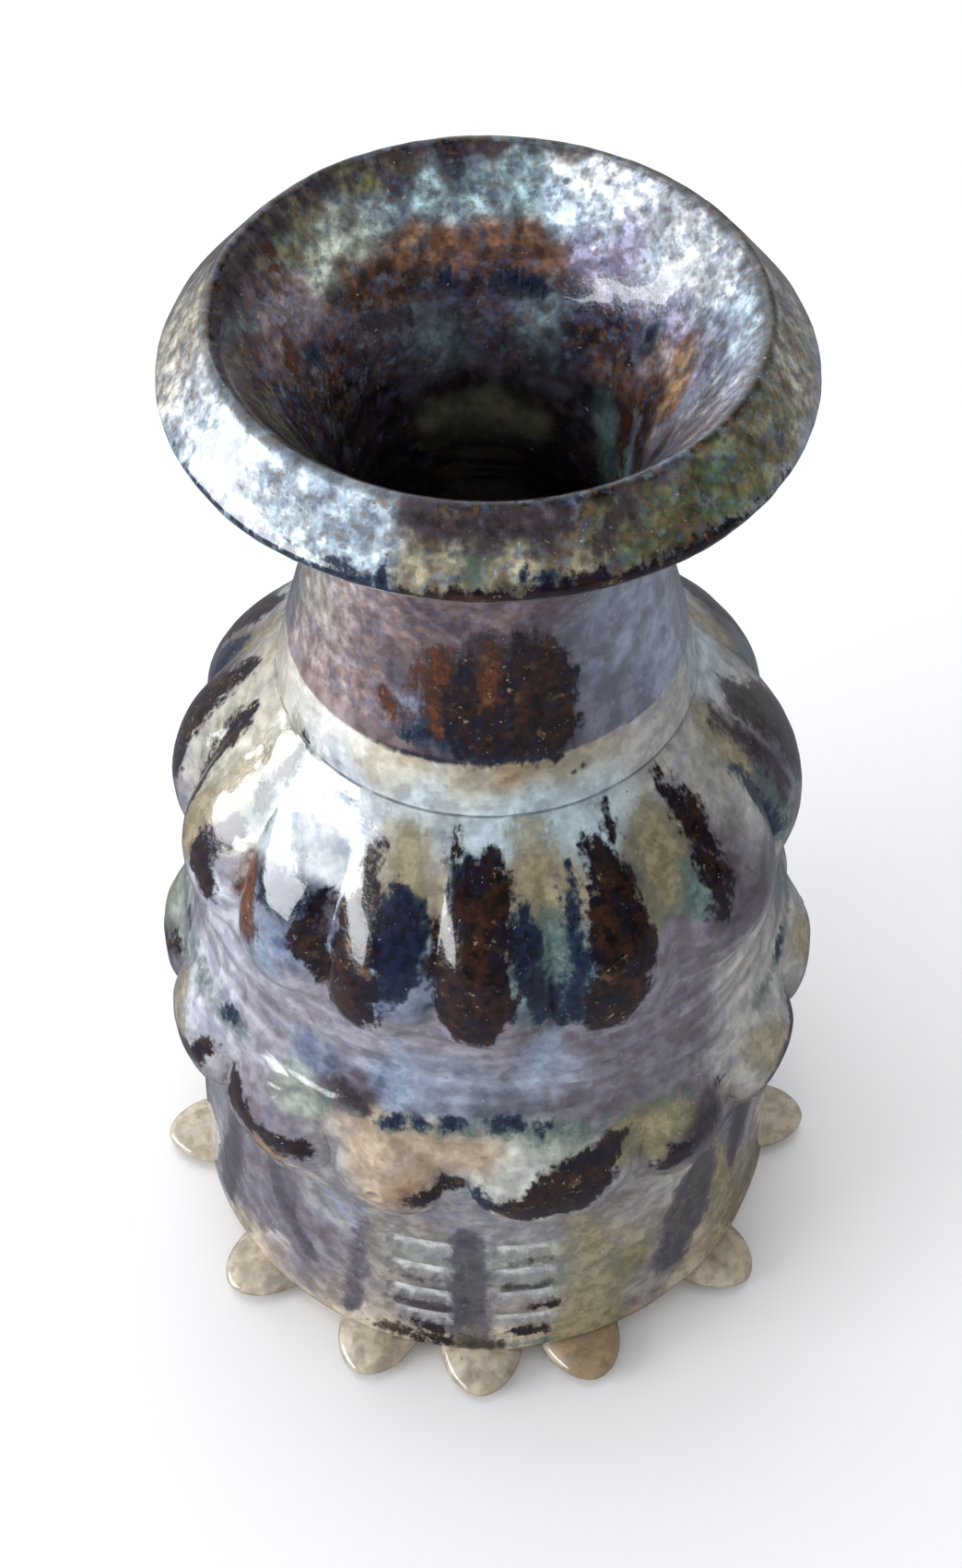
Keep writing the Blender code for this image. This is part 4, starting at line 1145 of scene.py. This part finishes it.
def glaze_material(name, gloss):
    """Glossy runny stoneware glaze, finely pitted, a little rougher where iron crystals form."""
    material = bpy.data.materials.new(name)
    nodes = Nodes(material)
    color, masks = glaze_color(nodes)
    shader = nodes.add("BsdfPrincipled")
    nodes.put(shader.inputs["Base Color"], color)
    rough = nodes.ramp(nodes.noise(2.5, 3.0, 0.6, 8.3), 0.4, 0.7, gloss, gloss + 0.08)
    rough = nodes.plus(rough, nodes.times(masks["iron"], 0.05))
    nodes.put(shader.inputs["Roughness"], rough)
    shader.inputs["IOR"].default_value = 1.5
    shader.inputs["Coat Weight"].default_value = 0.8
    shader.inputs["Coat Roughness"].default_value = 0.03
    pits = nodes.noise(0.30, 3.0, 0.6, seed=9.1)
    rolls = nodes.noise(1.6, 3.0, 0.55, seed=9.7)
    grit = nodes.times(nodes.noise(0.5, 3.0, 0.7, seed=10.3), masks["iron"])
    peel = nodes.noise(0.9, 2.0, 0.5, seed=9.4)
    height = nodes.plus(nodes.times(pits, 0.22), rolls)
    height = nodes.plus(height, nodes.times(peel, 0.9))
    height = nodes.plus(height, nodes.times(grit, 0.5))
    nodes.bump(shader, height, BUMPS, 0.13)
    nodes.surface(shader)
    return material


def clay_material(name):
    """Unglazed buff stoneware of the foot disc: gritty, with iron specks."""
    material = bpy.data.materials.new(name)
    nodes = Nodes(material)
    color = nodes.mix(nodes.ramp(nodes.noise(3.0, 5.0, 0.6), 0.35, 0.65),
                      linear(176, 158, 134), linear(148, 130, 108))
    color = speckle(nodes, color, 0.6, 0.62, 0.70, 0.8, (84, 52, 34), 1.1)
    color = speckle(nodes, color, 0.4, 0.60, 0.68, 0.5, (214, 200, 176), 2.1)
    shader = nodes.add("BsdfPrincipled")
    nodes.put(shader.inputs["Base Color"], color)
    rough = nodes.ramp(nodes.noise(1.0), 0.3, 0.7, 0.72, 0.95)
    nodes.put(shader.inputs["Roughness"], rough)
    nodes.bump(shader, nodes.noise(0.5, 5.0, 0.7), 0.6, 0.2)
    nodes.surface(shader)
    return material


# ---------------------------------------------------------------- dressing the pieces

def flow_of(points):
    """Coordinates that change slowly up the wall and quickly round it, in metres."""
    angle = np.radians(azimuth_of(points))
    outside = radius_of(points) > bore_radius(points[:, 2]) + 1.5
    plain = np.where(outside, wall_radius(points[:, 2]), radius_of(points))
    along = points[:, 2] - 0.8 * plain
    return np.column_stack([30 * np.sin(angle), -30 * np.cos(angle), 0.28 * along]) * MM


def color_attribute(mesh, name, colors):
    rgba = np.column_stack([colors, np.ones(len(colors))]).astype(np.float32)
    mesh.color_attributes.new(name, 'FLOAT_COLOR', 'POINT').data.foreach_set("color", rgba.ravel())


def dress(obj, points, painted, material, node):
    """Store the paint on the mesh, give it its material, and seat it on the frame."""
    mesh = obj.data
    first, second, layers = painted
    color_attribute(mesh, "wash", first)
    color_attribute(mesh, "wash_broken", second)
    for name, numbers in layers.items():
        values = mesh.attributes.new(name, 'FLOAT', 'POINT')
        values.data.foreach_set("value", numbers.astype(np.float32))
    flow = mesh.attributes.new("flow", 'FLOAT_VECTOR', 'POINT')
    flow.data.foreach_set("vector", flow_of(points).astype(np.float32).ravel())
    seat(obj, material, node)


def seat(obj, material, node):
    obj.data.materials.append(material)
    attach(obj, "root")
    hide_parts(node)


def shell_paint(points, split, lining):
    """Paint of a turned wall: the outside up to split, then its lining."""
    first, second, layers = outer_paint(points[:split])
    in_first, in_second, in_layers = lining(points[split:])
    joined = {name: np.concatenate([layers[name], in_layers[name]]) for name in layers}
    return np.vstack([first, in_first]), np.vstack([second, in_second]), joined


def plain_lining(points):
    """Thin dark glaze washed round the unseen inside."""
    first = np.tile(linear(*TONES["bark"][1]), (len(points), 1))
    second = np.tile(linear(*TONES["soot"][0]), (len(points), 1))
    layers = bare_layers(points)
    layers["grain"] = np.full(len(points), 0.5)
    layers["rings"] = np.zeros(len(points))
    return first, second, layers


def build_neck():
    outer = spline(neck_outline(), 0.42)
    inner = spline(bore_outline(), 0.5)[:-1]
    obj, points = shell("glazed_neck", outer, inner, outer_relief, bore_relief)
    painted = shell_paint(points, len(outer) * COLUMNS, inner_paint)
    material = glaze_material("neck_glaze", 0.07)
    dress(obj, points, painted, material, "neck_and_lip")


def build_wall(name, node, slot, top, bottom, gloss):
    outer = outer_slice(top, bottom)
    inner = inner_slice(bottom, top)
    obj, points = shell(name, outer, inner, outer_relief, bore_relief)
    painted = shell_paint(points, len(outer) * COLUMNS, plain_lining)
    dress(obj, points, painted, glaze_material(slot, gloss), node)


def foot_relief(points):
    """Turning lines on the underside of the foot, away from its resting edge."""
    radius = radius_of(points)
    under = smoothstep(0.4, 0.1, points[:, 2]) * smoothstep(FOOT_R - 4, FOOT_R - 6, radius)
    return -under * (0.35 + 0.22 * np.sin(radius * 2.6) + 0.15 * fractal(points, 3.0, 95))


def build_foot():
    side = [(FOOT_R, DRUM_Z), (FOOT_R, 1.2), (FOOT_R - 0.3, 0.3), (FOOT_R - 1.0, 0.0)]
    under = spline([(FOOT_R - 1.4, 0.0), (1.0, 0.0)], 0.6)
    profile = np.vstack([[0, DRUM_Z], [FOOT_R * 0.6, DRUM_Z], spline(side, 0.3), under, [0, 0.35]])
    obj = capped_solid("foot_disc_turned", profile, foot_relief)
    seat(obj, clay_material("foot_clay"), "foot_disc")


def build_petals():
    material = glaze_material("boss_glaze", 0.08)
    for name, azimuth, z, width, tall, crest in BOSSES:
        proud = crest - BELT_R + PETAL_PROUD
        obj, points = petal("petal_" + name, azimuth, z, width * PETAL_SPREAD, tall, proud)
        dress(obj, points, outer_paint(points), material, name)


def build_knobs():
    """The knobs take the washes of the wall above them, but none of its strokes."""
    material = glaze_material("knob_glaze", 0.12)
    for name, azimuth, z, width, tall, crest in KNOBS:
        obj, points = tooth("glazed_" + name, azimuth, z, width * KNOB_SQUEEZE, tall, crest)
        first, second, layers = outer_paint(points)
        layers.update(bare_layers(points))
        dress(obj, points, (first, second, layers), material, name)


# ---------------------------------------------------------------- stage

def build_floor():
    """A plain pale floor, dimmer in the reflections, as if the room around it were dark."""
    bpy.ops.mesh.primitive_plane_add(size=8.0, location=(0, 0, -0.0001))
    floor = bpy.context.object
    floor.name = "floor"
    material = bpy.data.materials.new("pale_floor")
    nodes = Nodes(material)
    shader = nodes.add("BsdfDiffuse")
    seen = nodes.add("LightPath").outputs["Is Glossy Ray"]
    color = nodes.mix(seen, (0.88, 0.88, 0.89), (0.12, 0.12, 0.13))
    nodes.put(shader.inputs["Color"], color)
    nodes.surface(shader)
    floor.data.materials.append(material)


def area_light(name, azimuth, elevation, distance, size_x, size_y, watts, color=(1, 1, 1)):
    """A softbox facing the vase's shoulder."""
    data = bpy.data.lights.new(name, 'AREA')
    data.shape = 'RECTANGLE'
    data.size, data.size_y = size_x, size_y
    data.energy = watts
    data.color = color
    light = bpy.data.objects.new(name, data)
    a, e = math.radians(azimuth), math.radians(elevation)
    back = np.array([math.sin(a) * math.cos(e), -math.cos(a) * math.cos(e), math.sin(e)])
    light.location = np.array([0, 0, 0.09]) + back * distance
    light.rotation_euler = (math.pi / 2 - e, 0, a)
    bpy.context.scene.collection.objects.link(light)
    return light


def build_world():
    """Soft daylight: bright on the window side and behind, dim where the camera stands."""
    world = bpy.data.worlds.new("studio")
    nodes = Nodes(world)
    direction = nodes.add("TexCoord").outputs["Generated"]
    dot = nodes.add("VectorMath", operation='DOT_PRODUCT')
    nodes.put(dot.inputs[0], direction)
    dot.inputs[1].default_value = (-0.78, 0.50, 0.38)
    fill = nodes.ramp(dot.outputs["Value"], -0.9, 0.9, 0.58, 0.80)
    mirrored = nodes.ramp(dot.outputs["Value"], 0.0, 0.9, 0.03, 0.80)
    seen = nodes.add("LightPath").outputs["Is Glossy Ray"]
    strength = nodes.plus(nodes.times(mirrored, seen),
                          nodes.times(fill, nodes.math('SUBTRACT', 1.0, seen)))
    background = nodes.add("Background")
    background.inputs["Color"].default_value = (0.95, 0.975, 1.0, 1)
    nodes.put(background.inputs["Strength"], strength)
    nodes.put(nodes.add("OutputWorld").inputs["Surface"], background.outputs[0])
    bpy.context.scene.world = world


def build_lights():
    """The window is two lights, one that only lights and one that is only mirrored."""
    window = area_light("window_left", -69, 15, 1.1, 0.66, 0.62, 8.4, (0.97, 0.98, 1.0))
    window.visible_glossy = False
    gleam = area_light("window_gleam", -75, 8, 1.1, 1.20, 0.48, 13.4, (0.93, 0.96, 1.0))
    gleam.visible_diffuse = False
    ceiling = area_light("ceiling", -150, 76, 1.6, 1.1, 1.0, 11.0)
    ceiling.visible_glossy = False


# Where the camera stands, in crest radii from the axis and above the crest, and its tilt
CAMERA_BACK, CAMERA_UP, CAMERA_TILT = 7.2, 5.9, 49.8
CAMERA_ASIDE = -0.0007


def build_camera():
    data = bpy.data.cameras.new("camera")
    camera = bpy.data.objects.new("camera", data)
    data.sensor_width = 36.0
    data.lens = 59.3
    unit = CREST_R * MM
    camera.location = (CAMERA_ASIDE, -CAMERA_BACK * unit, HEIGHT * MM + CAMERA_UP * unit)
    camera.rotation_euler = (math.radians(90 - CAMERA_TILT), 0, 0)
    bpy.context.scene.collection.objects.link(camera)
    bpy.context.scene.camera = camera


def main():
    build_neck()
    build_wall("lobed_shoulder", "shoulder_dome", "shoulder_glaze", DOME_Z, BELT_TOP, 0.06)
    build_wall("belt_wall", "belt_ring", "belt_glaze", BELT_TOP, DRUM_TOP, 0.10)
    build_wall("stamped_drum", "lower_drum", "drum_glaze", DRUM_TOP, DRUM_Z, 0.12)
    build_foot()
    build_petals()
    build_knobs()
    build_floor()
    build_world()
    build_lights()
    build_camera()
    bpy.context.scene.view_settings.view_transform = 'Standard'


main()
